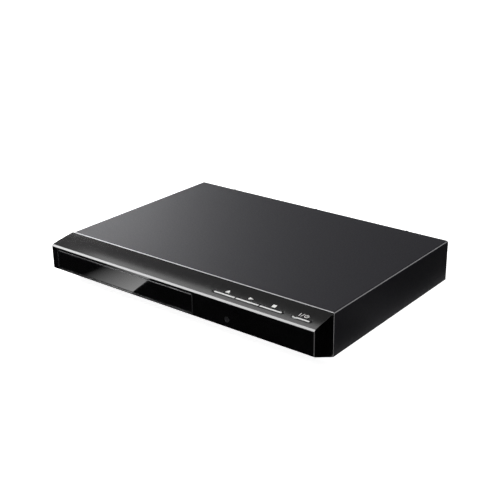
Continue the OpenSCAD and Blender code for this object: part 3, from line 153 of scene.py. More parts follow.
class Nodes:
    """Adds nodes to a tree"""

    def __init__(self, tree):
        self.tree = tree

    def new(self, kind, **settings):
        node = self.tree.nodes.new("ShaderNode" + kind)
        for key, value in settings.items():
            setattr(node, key, value)
        return node

    def put(self, node, socket, value):
        """Links an output to a socket, or sets the socket to a plain value"""
        target = node.inputs[socket]
        if isinstance(value, bpy.types.NodeSocket):
            self.tree.links.new(value, target)
        else:
            target.default_value = value

    def math(self, operation, a, b=0.0):
        node = self.new("Math", operation=operation)
        self.put(node, 0, a)
        self.put(node, 1, b)
        return node.outputs[0]

    def over(self, value, limit):
        """1 where the value is above the limit, else 0"""
        return self.math("GREATER_THAN", value, limit)

    def under(self, value, limit):
        """1 where the value is below the limit, else 0"""
        return self.math("LESS_THAN", value, limit)

    def between(self, value, low, high):
        """1 inside a range, else 0"""
        return self.both(self.over(value, low), self.under(value, high))

    def both(self, a, b):
        """1 where two masks are both 1. It also keeps a value inside a mask."""
        return self.math("MULTIPLY", a, b)

    def either(self, a, b):
        """1 where one of two masks is 1, or the greater of two values"""
        return self.math("MAXIMUM", a, b)

    def span(self, value, low, high, to_low=0.0, to_high=1.0):
        """The value's place in a range, moved into another range"""
        node = self.new("MapRange")
        for i, v in enumerate((value, low, high, to_low, to_high)):
            self.put(node, i, v)
        return node.outputs[0]

    def part(self, vector, index):
        """The X, Y or Z part of a vector"""
        node = self.new("SeparateXYZ")
        self.put(node, 0, vector)
        return node.outputs[index]


class Finish(Nodes):
    """A material on Object coordinates. Each method adds one effect to it."""

    def __init__(self, name, colour, rough, metal=0.0, specular=0.5):
        self.mat = bpy.data.materials.new(name)
        self.mat.use_nodes = True
        super().__init__(self.mat.node_tree)
        self.shader = self.tree.nodes["Principled BSDF"]
        self.colour = tuple(colour)
        self.shader.inputs["Base Color"].default_value = (*colour, 1)
        self.shader.inputs["Roughness"].default_value = rough
        self.shader.inputs["Metallic"].default_value = metal
        self.shader.inputs["Specular IOR Level"].default_value = specular
        self.place = self.new("TexCoord").outputs["Object"]
        self.relief = None

    def stretched(self, stretch):
        node = self.new("Mapping")
        self.put(node, "Vector", self.place)
        node.inputs["Scale"].default_value = stretch
        return node.outputs["Vector"]

    def noise(self, size, detail=2.0, stretch=None):
        node = self.new("TexNoise")
        self.put(node, "Vector", self.stretched(stretch) if stretch else self.place)
        self.put(node, "Scale", 1 / size)
        self.put(node, "Detail", detail)
        return node.outputs["Fac"]

    def drift(self, size, stretch=None, low=0.0, high=1.0):
        """A value that drifts between two values"""
        return self.span(self.noise(size, 3.0, stretch), 0.3, 0.7, low, high)

    def cells(self, size, output="Distance", stretch=None):
        node = self.new("TexVoronoi", feature="F1")
        self.put(node, "Vector", self.stretched(stretch) if stretch else self.place)
        self.put(node, "Scale", 1 / size)
        return node.outputs[output]

    def mix(self, factor, a, b):
        node = self.new("Mix", data_type="RGBA")
        self.put(node, 0, factor)
        for i, v in ((6, a), (7, b)):
            self.put(node, i, v if isinstance(v, bpy.types.NodeSocket) else (*v, 1))
        return node.outputs[2]

    def axis(self, index):
        """The place along X, Y or Z"""
        return self.part(self.place, index)

    def facing(self, index):
        """How far the surface faces along X, Y or Z"""
        return self.part(self.new("NewGeometry").outputs["Normal"], index)

    def aside(self, index, middle):
        """The distance from a place along X, Y or Z"""
        return self.math("ABSOLUTE", self.math("SUBTRACT", self.axis(index), middle))

    def near(self, index, middle, reach):
        """1 within a distance of a place along X, Y or Z, else 0"""
        return self.between(self.axis(index), middle - reach, middle + reach)

    def waves(self, value, pitch):
        """Waves between 0 and 1 along a value"""
        turn = self.math("MULTIPLY", value, 2 * math.pi / pitch)
        return self.span(self.math("SINE", turn), -1, 1)

    def grey(self, colour):
        """The brightness of a colour"""
        node = self.new("RGBToBW")
        self.put(node, 0, colour)
        return node.outputs[0]

    def tint(self, amount, size, stretch=None):
        """Lighter and darker patches of the colour"""
        low = [c * (1 - amount) for c in self.colour]
        high = [min(1, c * (1 + amount)) for c in self.colour]
        return self.paint(self.mix(self.drift(size, stretch), low, high))

    def paint(self, colour):
        self.put(self.shader, "Base Color", colour)
        return self

    def painted(self):
        """The output that the paint so far comes from"""
        return self.shader.inputs["Base Color"].links[0].from_socket

    def metal(self, mask):
        """Metal where the mask is 1"""
        self.put(self.shader, "Metallic", mask)
        return self

    def gloss(self, low, high, size, stretch=None):
        """Roughness that drifts between two values"""
        self.put(self.shader, "Roughness", self.drift(size, stretch, low, high))
        return self

    def raise_by(self, height, depth):
        """Bump of a given depth from a height between 0 and 1"""
        node = self.new("Bump")
        self.put(node, "Height", height)
        self.put(node, "Distance", depth)
        self.put(node, "Strength", 1.0)
        if self.relief:
            self.put(node, "Normal", self.relief)
        self.relief = node.outputs["Normal"]
        self.put(self.shader, "Normal", self.relief)
        return self

    def grain(self, size, depth, detail=2.0, stretch=None):
        return self.raise_by(self.noise(size, detail, stretch), depth)

    def round_edges(self, radius):
        """Softly rounded edges where two faces meet"""
        node = self.new("Bevel", samples=4)
        self.put(node, "Radius", radius)
        self.relief = node.outputs["Normal"]
        self.put(self.shader, "Normal", self.relief)
        return self

    def rim(self):
        """1 where the rounded edges turn the surface, and 0 on the open faces"""
        node = self.new("VectorMath", operation="DOT_PRODUCT")
        self.put(node, 0, self.relief)
        self.put(node, 1, self.new("NewGeometry").outputs["True Normal"])
        return self.span(node.outputs["Value"], 0.985, 0.90)

    def give(self, *names):
        """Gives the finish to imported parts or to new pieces"""
        for name in names:
            thing = NODES.get(name) or bpy.data.objects[name]
            thing.data.materials.clear()
            thing.data.materials.append(self.mat)


def props(context):
    scene = context.scene
    return scene.player_finishes, scene.player_sizes, scene.player_studio


# ---------- modelling helpers ----------

BAR_END = 0.9  # how far a bar's rounded end bulges, in halves of its width
BAR_STEPS = 6  # flats round a bar's end
LEVEL = 0.00005  # points closer than this share a level
SMOOTH_ANGLE = math.radians(30)


def start_piece():
    """Leaves edit mode and deselects all, so that the next operator acts on new geometry only"""
    if bpy.context.object and bpy.context.object.mode != "OBJECT":
        bpy.ops.object.mode_set(mode="OBJECT")
    bpy.ops.object.select_all(action="DESELECT")


def select_faces(obj, test):
    """In edit mode, selects the faces whose centre and normal pass the test"""
    bpy.ops.mesh.select_all(action="DESELECT")
    bpy.ops.object.mode_set(mode="OBJECT")
    for face in obj.data.polygons:
        face.select = test(face.center, face.normal)
    bpy.ops.object.mode_set(mode="EDIT")
    bpy.ops.mesh.select_mode(type="FACE")


def close_piece(name, body):
    """Puts the active object's place into its mesh, shades it and makes it ride on a body"""
    obj = bpy.context.object
    if obj.mode != "OBJECT":
        bpy.ops.object.mode_set(mode="OBJECT")
    obj.name = name
    obj.data.name = name
    bpy.ops.object.select_all(action="DESELECT")
    obj.select_set(True)
    bpy.ops.object.transform_apply(location=True, rotation=True, scale=True)
    bpy.ops.object.shade_smooth_by_angle(angle=SMOOTH_ANGLE)
    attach(obj, body)
    return obj


def join_pieces(pieces):
    """Joins the pieces into the first one and leaves it active"""
    start_piece()
    for piece in pieces:
        piece.select_set(True)
    bpy.context.view_layer.objects.active = pieces[0]
    if len(pieces) > 1:
        bpy.ops.object.join()
    return bpy.context.object


def front_surface(x, offset, name="front_panel"):
    """Point and normal on top of the front or a key, at a distance in front of the cover's edge"""
    node = NODES[name]
    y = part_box("top_cover")[0].y - offset
    hit, point, normal, _ = node.ray_cast(Vector((x, y, CAD_HIGH.z + 0.01)), Vector((0, 0, -1)))
    if not hit:
        raise RuntimeError("%s has no top at x = %.4f" % (name, x))
    return point, normal


def lay_on_front(obj, x, offset, lift, name="front_panel"):
    """Lays a flat piece, drawn round its own origin in XY, on the sloping top"""
    point, normal = front_surface(x, offset, name)
    tilt = math.atan2(-normal.y, normal.z)
    obj.matrix_world = Matrix.Translation(point + normal * lift) @ Matrix.Rotation(tilt, 4, "X")


def flat_plate(corners, height):
    """A plate of a given height over the outline that its corners give"""
    start_piece()
    bpy.ops.mesh.primitive_circle_add(vertices=len(corners), radius=0.001, fill_type="NGON")
    obj = bpy.context.object
    for vertex, (x, y) in zip(obj.data.vertices, corners):
        vertex.co = (x, y, 0)
    bpy.ops.object.mode_set(mode="EDIT")
    bpy.ops.mesh.select_all(action="SELECT")
    bpy.ops.mesh.extrude_region_move(TRANSFORM_OT_translate={"value": (0, 0, height)})
    bpy.ops.mesh.select_all(action="SELECT")
    bpy.ops.mesh.normals_make_consistent(inside=False)
    bpy.ops.object.mode_set(mode="OBJECT")
    return obj


def rectangle(x0, y0, x1, y1, lean=0.0):
    """The corners of a rectangle whose far side is shifted along X"""
    return [(x0, y0), (x1, y0), (x1 + lean, y1), (x0 + lean, y1)]


def bar(length, width, round_left, round_right):
    """The corners of a bar round its own origin, with square or rounded ends"""
    half = width / 2
    reach = half * BAR_END
    corners = []
    for side, rounded in ((-1, round_left), (1, round_right)):
        for i in range(BAR_STEPS + 1):
            turn = math.pi * (i / BAR_STEPS - 0.5)
            bulge = reach * math.cos(turn) if rounded else reach
            corners.append((side * (length / 2 - reach + bulge), side * half * math.sin(turn)))
    return corners


# ---------- operators: symbols, strips and thread ----------


class PLAYER_OT_symbols(bpy.types.Operator):
    """Prints the open, play, stop and power symbols above their keys"""

    bl_idname = "player.symbols"
    bl_label = "Key symbols"

    # from the middle of a key to its symbol, along the front
    beside = {"open": 0.001, "play": 0.0003, "stop": -0.0005, "power": -0.0031}

    def execute(self, context):
        finishes, sizes, _ = props(context)
        size, ink = sizes.symbol_size, sizes.ink_height
        half = size / 2
        white = Finish("white_print", finishes.ink_colour, 0.5)
        white.tint(0.05, 0.0004).gloss(0.42, 0.6, 0.0005).grain(0.00012, 0.000006)

        line = size * 0.22
        triangle = [(-half, -half + 1.6 * line), (half, -half + 1.6 * line), (0, half)]
        underline = rectangle(-half, -half, half, -half + line)
        arrow = [(-half, -half * 0.85), (half * 1.35, 0), (-half, half * 0.85)]
        edge = half * 0.9
        outlines = {"open": [triangle, underline], "play": [arrow],
                    "stop": [rectangle(-edge, -edge, edge, edge)], "power": self.power_outlines(size)}
        for name, parts in outlines.items():
            low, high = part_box(name + "_key")
            x = (low.x + high.x) / 2 + self.beside[name]
            plates = [flat_plate(corners, ink) for corners in parts]
            for plate in plates:
                lay_on_front(plate, x, sizes.symbol_line, -ink / 3)
            join_pieces(plates)
            close_piece(name + "_symbol", "cabinet")
            white.give(name + "_symbol")
        return {"FINISHED"}

    def power_outlines(self, size):
        """An upright stroke, a slash, and an open ring with a stroke in its gap"""
        half, stroke = size / 2, size * 0.075
        slash, radius, middle = size * 0.55, half * 0.86, size * 0.6
        gap, steps = math.radians(32), 20
        turns = [gap + (2 * math.pi - 2 * gap) * i / steps for i in range(steps + 1)]

        def arc(r, angles):
            return [(middle + r * math.sin(a), r * math.cos(a)) for a in angles]

        return [rectangle(-size - stroke, -half, -size + stroke, half),
                rectangle(-slash - stroke, -half, -slash + stroke, half, lean=size * 0.37),
                arc(radius + stroke, turns) + arc(radius - stroke, reversed(turns)),
                rectangle(middle - stroke, 0, middle + stroke, half + stroke)]


class PLAYER_OT_strips(bpy.types.Operator):
    """Lays the silver strips on the keys, and the silver plate in which the indicator lamp sits"""

    bl_idname = "player.strips"
    bl_label = "Silver strips"

    rear_margin = 0.00046  # from a key's rear edge to its strip
    square_end = 0.0001    # from the power key's square end to its strip
    lamp_margin = 0.0009   # from the lamp's left side to the plate's end, and half the gap at the lamp
    key_margin = 0.00015   # from the plate to the power key
    plate_line = 0.01675   # from the cover's front edge to the middle of the plate

    def execute(self, context):
        finishes, sizes, _ = props(context)
        self.width, self.thick = sizes.strip_width, sizes.strip_height
        self.silver = Finish("strip_silver", finishes.key_colour, 0.3, metal=0.35)
        self.silver.tint(0.06, 0.0003).gloss(0.24, 0.34, 0.0006).grain(0.0002, 0.000002)
        gap, end = sizes.strip_gap, sizes.strip_end
        for name, left, right in (("open", end, gap), ("play", gap, gap), ("stop", gap, end),
                                  ("power", self.square_end, end)):
            self.add_strip(name, left, right, left == end, right == end)
        self.add_plate(sizes.plate_height)
        return {"FINISHED"}

    def add_strip(self, name, left, right, round_left, round_right):
        """A strip on a key, at a margin from its left and right side"""
        key, strip = name + "_key", name + "_strip"
        low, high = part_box(key)
        top = [v.co.y for v in NODES[key].data.vertices if v.co.z > high.z - LEVEL]
        length, shift = high.x - low.x - left - right, (left - right) / 2
        piece = flat_plate(bar(length, self.width, round_left, round_right), self.thick)
        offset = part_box("top_cover")[0].y - max(top) + self.width / 2 + self.rear_margin
        lay_on_front(piece, (low.x + high.x) / 2, offset, -self.thick / 4, key)
        piece.matrix_world = Matrix.Translation((shift, 0, 0)) @ piece.matrix_world
        close_piece(strip, key)
        self.silver.give(strip)

    def add_plate(self, height):
        """Two bits on the slot's shelf, one on each side of the lamp"""
        low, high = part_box("lamp_lens")
        middle, margin = (low.x + high.x) / 2, self.lamp_margin
        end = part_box("power_key")[0].x - self.key_margin
        bits = []
        for start, stop, rounded in ((low.x - margin, middle - margin, True), (middle + margin, end, False)):
            bit = flat_plate(bar(stop - start, self.width, rounded, False), height)
            lay_on_front(bit, (start + stop) / 2, self.plate_line, -self.thick / 4)
            bits.append(bit)
        join_pieces(bits)
        close_piece("lamp_plate", "cabinet")
        self.silver.give("lamp_plate")


class PLAYER_OT_thread(bpy.types.Operator):
    """Turns the pickup's lead screw with a real thread and plain ends"""

    bl_idname = "player.thread"
    bl_label = "Lead screw thread"

    # one turn of the thread: the part of the groove's depth, at a part of the pitch
    profile = ((0, 0), (0, 0.55), (1, 0.65), (1, 0.9), (0, 1))
    flats = 20         # round one turn of the thread
    end_flats = 24     # round a plain end
    overlap = 0.0001   # of a plain end with the thread
    end_round = 0.0002
    weld = 0.00001     # points closer than this become one

    def execute(self, context):
        _, sizes, _ = props(context)
        start, end, inner, outer, low, high = self.measure()
        thread = self.wind(outer, sizes.thread_depth, sizes.thread_pitch, low, high)
        first = self.plain_end(inner, 0, low + self.overlap)
        last = self.plain_end(inner, high - self.overlap, (end - start).length)
        piece = join_pieces([thread, first, last])
        turn = (end - start).normalized().to_track_quat("Z", "Y")
        piece.matrix_world = Matrix.Translation(start) @ turn.to_matrix().to_4x4()
        close_piece("threaded_screw", "lead_screw")
        piece.data.materials.clear()
        piece.data.materials.append(NODES["lead_screw"].data.materials[0])
        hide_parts("lead_screw")
        return {"FINISHED"}

    def measure(self):
        """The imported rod's two ends, its thin and thick radius, and where its thick part starts and ends"""
        points = [v.co.copy() for v in NODES["lead_screw"].data.vertices]
        along = (max(points, key=lambda p: p.y) - min(points, key=lambda p: p.y)).normalized()
        along.x = 0
        along.normalize()
        reach = [p.dot(along) for p in points]

        def centre_at(where):
            ring = [p for p, r in zip(points, reach) if abs(r - where) < LEVEL]
            return sum(ring, Vector()) / len(ring)

        start, end = centre_at(min(reach)), centre_at(max(reach))
        axis = (end - start).normalized()
        spread = [((p - start).cross(axis).length, (p - start).dot(axis)) for p in points]
        outer = max(r for r, _ in spread)
        inner = min(r for r, _ in spread if r > outer * 0.3)  # leaves out points on the axis
        thick = [a for r, a in spread if r > (outer + inner) / 2]
        return start, end, inner, outer, min(thick), max(thick)

    def wind(self, outer, depth, pitch, low, high):
        """Winds the profile round Z and cuts the thread flat at both ends"""
        start_piece()
        bpy.ops.mesh.primitive_circle_add(vertices=len(self.profile), radius=outer, fill_type="NOTHING")
        rod = bpy.context.object
        for vertex, (groove, turn) in zip(rod.data.vertices, self.profile):
            vertex.co = (outer - groove * depth, 0, low - pitch + turn * pitch)
        bpy.ops.object.mode_set(mode="EDIT")
        bpy.ops.mesh.select_mode(type="EDGE")
        bpy.ops.mesh.select_all(action="DESELECT")
        bpy.ops.object.mode_set(mode="OBJECT")
        for edge in rod.data.edges:
            edge.select = set(edge.vertices) == {0, len(self.profile) - 1}
        bpy.ops.object.mode_set(mode="EDIT")
        bpy.ops.mesh.delete(type="EDGE")
        bpy.ops.object.mode_set(mode="OBJECT")
        wind = rod.modifiers.new("wind", "SCREW")
        # a turn or more to spare at both ends, so that both cuts go through the thread
        wind.screw_offset, wind.iterations = pitch, int((high - low) / pitch) + 3
        wind.steps = wind.render_steps = self.flats
        bpy.ops.object.modifier_apply(modifier=wind.name)
        # each turn starts where the last one ends, so their seam is welded
        bpy.ops.object.mode_set(mode="EDIT")
        bpy.ops.mesh.select_all(action="SELECT")
        bpy.ops.mesh.remove_doubles(threshold=self.weld)
        for height, outside in ((low, False), (high, True)):
            bpy.ops.mesh.select_all(action="SELECT")
            bpy.ops.mesh.bisect(plane_co=(0, 0, height), plane_no=(0, 0, 1), use_fill=True,
                                clear_inner=not outside, clear_outer=outside)
        bpy.ops.mesh.select_all(action="SELECT")
        bpy.ops.mesh.normals_make_consistent(inside=False)
        bpy.ops.object.mode_set(mode="OBJECT")
        return rod

    def plain_end(self, radius, near, far):
        """A plain end of the rod with rounded rims"""
        start_piece()
        bpy.ops.mesh.primitive_cylinder_add(vertices=self.end_flats, radius=radius, depth=far - near,
                                            location=(0, 0, (near + far) / 2))
        bpy.ops.object.mode_set(mode="EDIT")
        select_faces(bpy.context.object, lambda centre, normal: abs(normal.z) > 0.9)
        bpy.ops.mesh.bevel(offset=self.end_round, segments=2, affect="EDGES")
        bpy.ops.object.mode_set(mode="OBJECT")
        return bpy.context.object


# ---------- operators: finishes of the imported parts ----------


class PLAYER_OT_outside(bpy.types.Operator):
    """Finishes the cover, the front, the door, the keys, the rear, the feet and the screws"""

    bl_idname = "player.outside"
    bl_label = "Outside finishes"

    lip_depth = 0.0011  # of the lip along the cover's front edge that is painted light as a highlight

    def execute(self, context):
        finishes, _, _ = props(context)
        self.finish_cover(finishes)
        self.finish_front(finishes)
        self.finish_rear_and_metal()
        return {"FINISHED"}

    def finish_cover(self, finishes):
        """Painted steel. The lip, the folds of the sides and the sheet's front corner are painted light grey
        as a highlight, and made smoother.
        """
        cover = Finish("cover_paint", finishes.cover_colour, 0.54, specular=0.19)
        cover.tint(0.12, 0.0009).round_edges(0.0004).grain(finishes.cover_grain, 0.000018, 3)
        across, forward, upward = (cover.facing(i) for i in range(3))
        turned = cover.either(cover.math("ABSOLUTE", across), cover.math("MULTIPLY", forward, -1.0))
        fold = cover.both(cover.between(upward, 0.55, 0.85), cover.over(turned, 0.3))
        corner = cover.both(cover.over(across, 0.3), cover.under(forward, -0.3))
        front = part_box("top_cover")[0].y + self.lip_depth
        lip = cover.both(cover.under(cover.axis(1), front), cover.over(upward, 0.35))
        # the lip, the folds and the corner are painted light grey: a painted highlight, with lower roughness
        painted_highlight = cover.either(cover.either(fold, corner), lip)
        cover.paint(cover.mix(painted_highlight, cover.painted(), finishes.highlight_colour))
        rough = cover.drift(0.0012, None, 0.50, 0.60)
        polish = cover.math("MULTIPLY", painted_highlight, 0.22)
        cover.put(cover.shader, "Roughness", cover.math("SUBTRACT", rough, polish))
        cover.shader.inputs["Specular Tint"].default_value = (0.83, 0.82, 1.0, 1)
        cover.give("top_cover")

    def finish_front(self, finishes):
        """Polished plastic, the keys, the lamp and the infrared window"""
        gloss = Finish("gloss_black", finishes.gloss_colour, 0.12)
        gloss.tint(0.25, 0.02).round_edges(0.0004)
        # the rounded rims of the front and the door are painted lighter grey: a painted highlight
        gloss.paint(gloss.mix(gloss.rim(), gloss.painted(), (0.07, 0.07, 0.073)))
        gloss.grain(0.009, 0.0000015)
        # the upright face and the nose are polished brighter than the sloping top
        face = gloss.under(gloss.facing(1), -0.45)
        polish = gloss.span(face, 0, 1, 0.11, 0.045)
        rough = gloss.math("ADD", gloss.drift(0.004, None, 0.0, 0.02), polish)
        gloss.put(gloss.shader, "Roughness", rough)
        gloss.give("front_panel", "tray_door")

        key = Finish("key_black", (0.003, 0.003, 0.0032), 0.3, specular=0.12)
        key.tint(0.2, 0.0006).gloss(0.26, 0.38, 0.0006).round_edges(0.0002)
        key.give("open_key", "play_key", "stop_key", "power_key")

        lamp = Finish("lamp_lens", (0.92, 0.94, 0.96), 0.1)
        lamp.tint(0.05, 0.0005).gloss(0.06, 0.14, 0.0008).round_edges(0.0002)
        lamp.give("lamp_lens")

        window = Finish("infrared_filter", (0.020, 0.020, 0.021), 0.08)
        window.tint(0.2, 0.001).gloss(0.05, 0.12, 0.001).round_edges(0.0002)
        window.give("infrared_window")

    def finish_rear_and_metal(self):
        """Painted and bare steel, rubber and screws"""
        rear = Finish("rear_paint", (0.016, 0.016, 0.017), 0.5)
        rear.tint(0.15, 0.0012).gloss(0.45, 0.58, 0.001).round_edges(0.0002)
        rear.grain(0.0005, 0.000012, 3)
        rear.give("rear_panel")

        zinc = Finish("zinc_steel", (0.55, 0.56, 0.57), 0.32, metal=1.0)
        spangle = zinc.grey(zinc.cells(0.006, output="Color"))
        zinc.paint(zinc.mix(spangle, (0.42, 0.43, 0.44), (0.62, 0.63, 0.64)))
        zinc.gloss(0.26, 0.42, 0.002, stretch=(1, 0.2, 1)).round_edges(0.0003)
        zinc.grain(0.0006, 0.000006, 2, stretch=(1, 0.1, 1))
        zinc.give("base_chassis", "clamp_bridge", "traverse_chassis")

        rubber = Finish("foot_rubber", (0.016, 0.016, 0.016), 0.75)
        rubber.tint(0.2, 0.002).gloss(0.65, 0.85, 0.001).round_edges(0.0006)
        rubber.grain(0.00035, 0.00002, 3)
        rubber.give("feet", "dampers", "drive_belt", "turntable_mat")

        black_screw = Finish("black_screw", (0.02, 0.02, 0.022), 0.35, metal=0.7)
        black_screw.tint(0.2, 0.0008).gloss(0.28, 0.45, 0.0005).round_edges(0.0002)
        black_screw.give("cover_screws")
        screw = Finish("plated_screw", (0.62, 0.60, 0.56), 0.28, metal=1.0)
        screw.tint(0.12, 0.0008).gloss(0.2, 0.38, 0.0005).round_edges(0.0002)
        screw.give("rear_screws", "loader_screws", "damper_screws", "board_screws")


class PLAYER_OT_sockets(bpy.types.Operator):
    """Finishes the sockets: each jack's collar and insulator in its own colour"""

    bl_idname = "player.sockets"
    bl_label = "Socket finishes"

    columns = 4            # of jacks
    column_place = 0.0054  # from the inserts' side to the middle of their first column

    def execute(self, context):
        low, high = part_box("jack_inserts")
        jack = Finish("jack_colours", (0.7, 0.4, 0.05), 0.38)
        pitch = (high.x - low.x - 2 * self.column_place) / (self.columns - 1)
        start = low.x + self.column_place - pitch / 2
        column = jack.span(jack.axis(0), start, start + self.columns * pitch)

        def row(colours):
            ramp = jack.new("ValToRGB")
            ramp.color_ramp.interpolation = "CONSTANT"
            stops = ramp.color_ramp.elements
            for i, colour in enumerate(colours):
                place = i / self.columns
                stop = stops[i] if i < len(stops) else stops.new(place)
                stop.position = place
                stop.color = (*colour, 1)
            jack.put(ramp, 0, column)
            return ramp.outputs[0]

        red, blue, green = (0.45, 0.012, 0.012), (0.012, 0.05, 0.35), (0.015, 0.22, 0.04)
        upper = row([red, blue, green, green])
        lower = row([red, (0.8, 0.8, 0.77), (0.75, 0.5, 0.02), (0.8, 0.2, 0.01)])
        jack.paint(jack.mix(jack.over(jack.axis(2), (low.z + high.z) / 2), lower, upper))
        jack.gloss(0.3, 0.46, 0.001).round_edges(0.0002).grain(0.0003, 0.000008)
        jack.give("jack_inserts")

        nickel = Finish("nickel_shell", (0.72, 0.69, 0.64), 0.18, metal=1.0)
        nickel.tint(0.08, 0.001).gloss(0.12, 0.26, 0.0008).round_edges(0.0002)
        nickel.give("jack_shells", "inlet_pins")

        moulded = Finish("socket_plastic", (0.018, 0.018, 0.019), 0.42)
        moulded.tint(0.2, 0.0015).gloss(0.36, 0.5, 0.001).round_edges(0.0003)
        moulded.grain(0.0003, 0.00001)
        moulded.give("jack_blocks", "mains_inlet")
        return {"FINISHED"}


class PLAYER_OT_mechanism(bpy.types.Operator):
    """Finishes the tray, the loader, the gears, the lift and the pickup"""

    bl_idname = "player.mechanism"
    bl_label = "Mechanism finishes"

    def execute(self, context):
        plastic, steel = self.plastic, self.steel
        plastic("tray_plastic", (0.030, 0.030, 0.032), 0.42, 0.56, 0.0003, "disc_tray", depth=0.000014)
        plastic("loader_plastic", (0.045, 0.045, 0.047), 0.45, 0.6, 0.0004, "loader_frame")
        plastic("lift_plastic", (0.02, 0.02, 0.022), 0.4, 0.55, 0.0004, "lift_frame", "turntable")
        plastic("acetal", (0.74, 0.73, 0.68), 0.28, 0.42, 0.0006,
                "tray_gear", "pulley_gear", "motor_pulley", "cam_slider", "clamper", depth=0.000004)
        steel("motor_steel", (0.60, 0.61, 0.63), 0.2, 0.34, (1, 1, 0.1),
              "loading_motor", "spindle_motor", "sled_motor")
        steel("ground_steel", (0.74, 0.75, 0.77), 0.08, 0.18, (1, 0.05, 1), "guide_rails", "lead_screw")
        steel("cast_metal", (0.36, 0.37, 0.39), 0.42, 0.6, (1, 1, 1), "pickup_body", depth=0.00001)
        plastic("magnet", (0.06, 0.06, 0.065), 0.3, 0.5, 0.0006, "clamp_magnet")
        lens = Finish("lens_glass", (0.25, 0.34, 0.55), 0.06)
        lens.tint(0.15, 0.002).gloss(0.03, 0.12, 0.002).round_edges(0.0001)
        lens.shader.inputs["Coat Weight"].default_value = 0.5
        lens.give("objective_lens")
        return {"FINISHED"}

    def plastic(self, name, colour, low, high, grain, *parts, depth=0.00001):
        finish = Finish(name, colour, (low + high) / 2)
        finish.tint(0.08, 0.004).gloss(low, high, 0.002).round_edges(0.0003)
        finish.grain(grain, depth, 3)
        finish.give(*parts)

    def steel(self, name, colour, low, high, stretch, *parts, depth=0.000003):
        finish = Finish(name, colour, (low + high) / 2, metal=1.0)
        finish.tint(0.08, 0.003, stretch=stretch).gloss(low, high, 0.001, stretch=stretch)
        finish.round_edges(0.0002).grain(0.0004, depth, 2, stretch=stretch)
        finish.give(*parts)


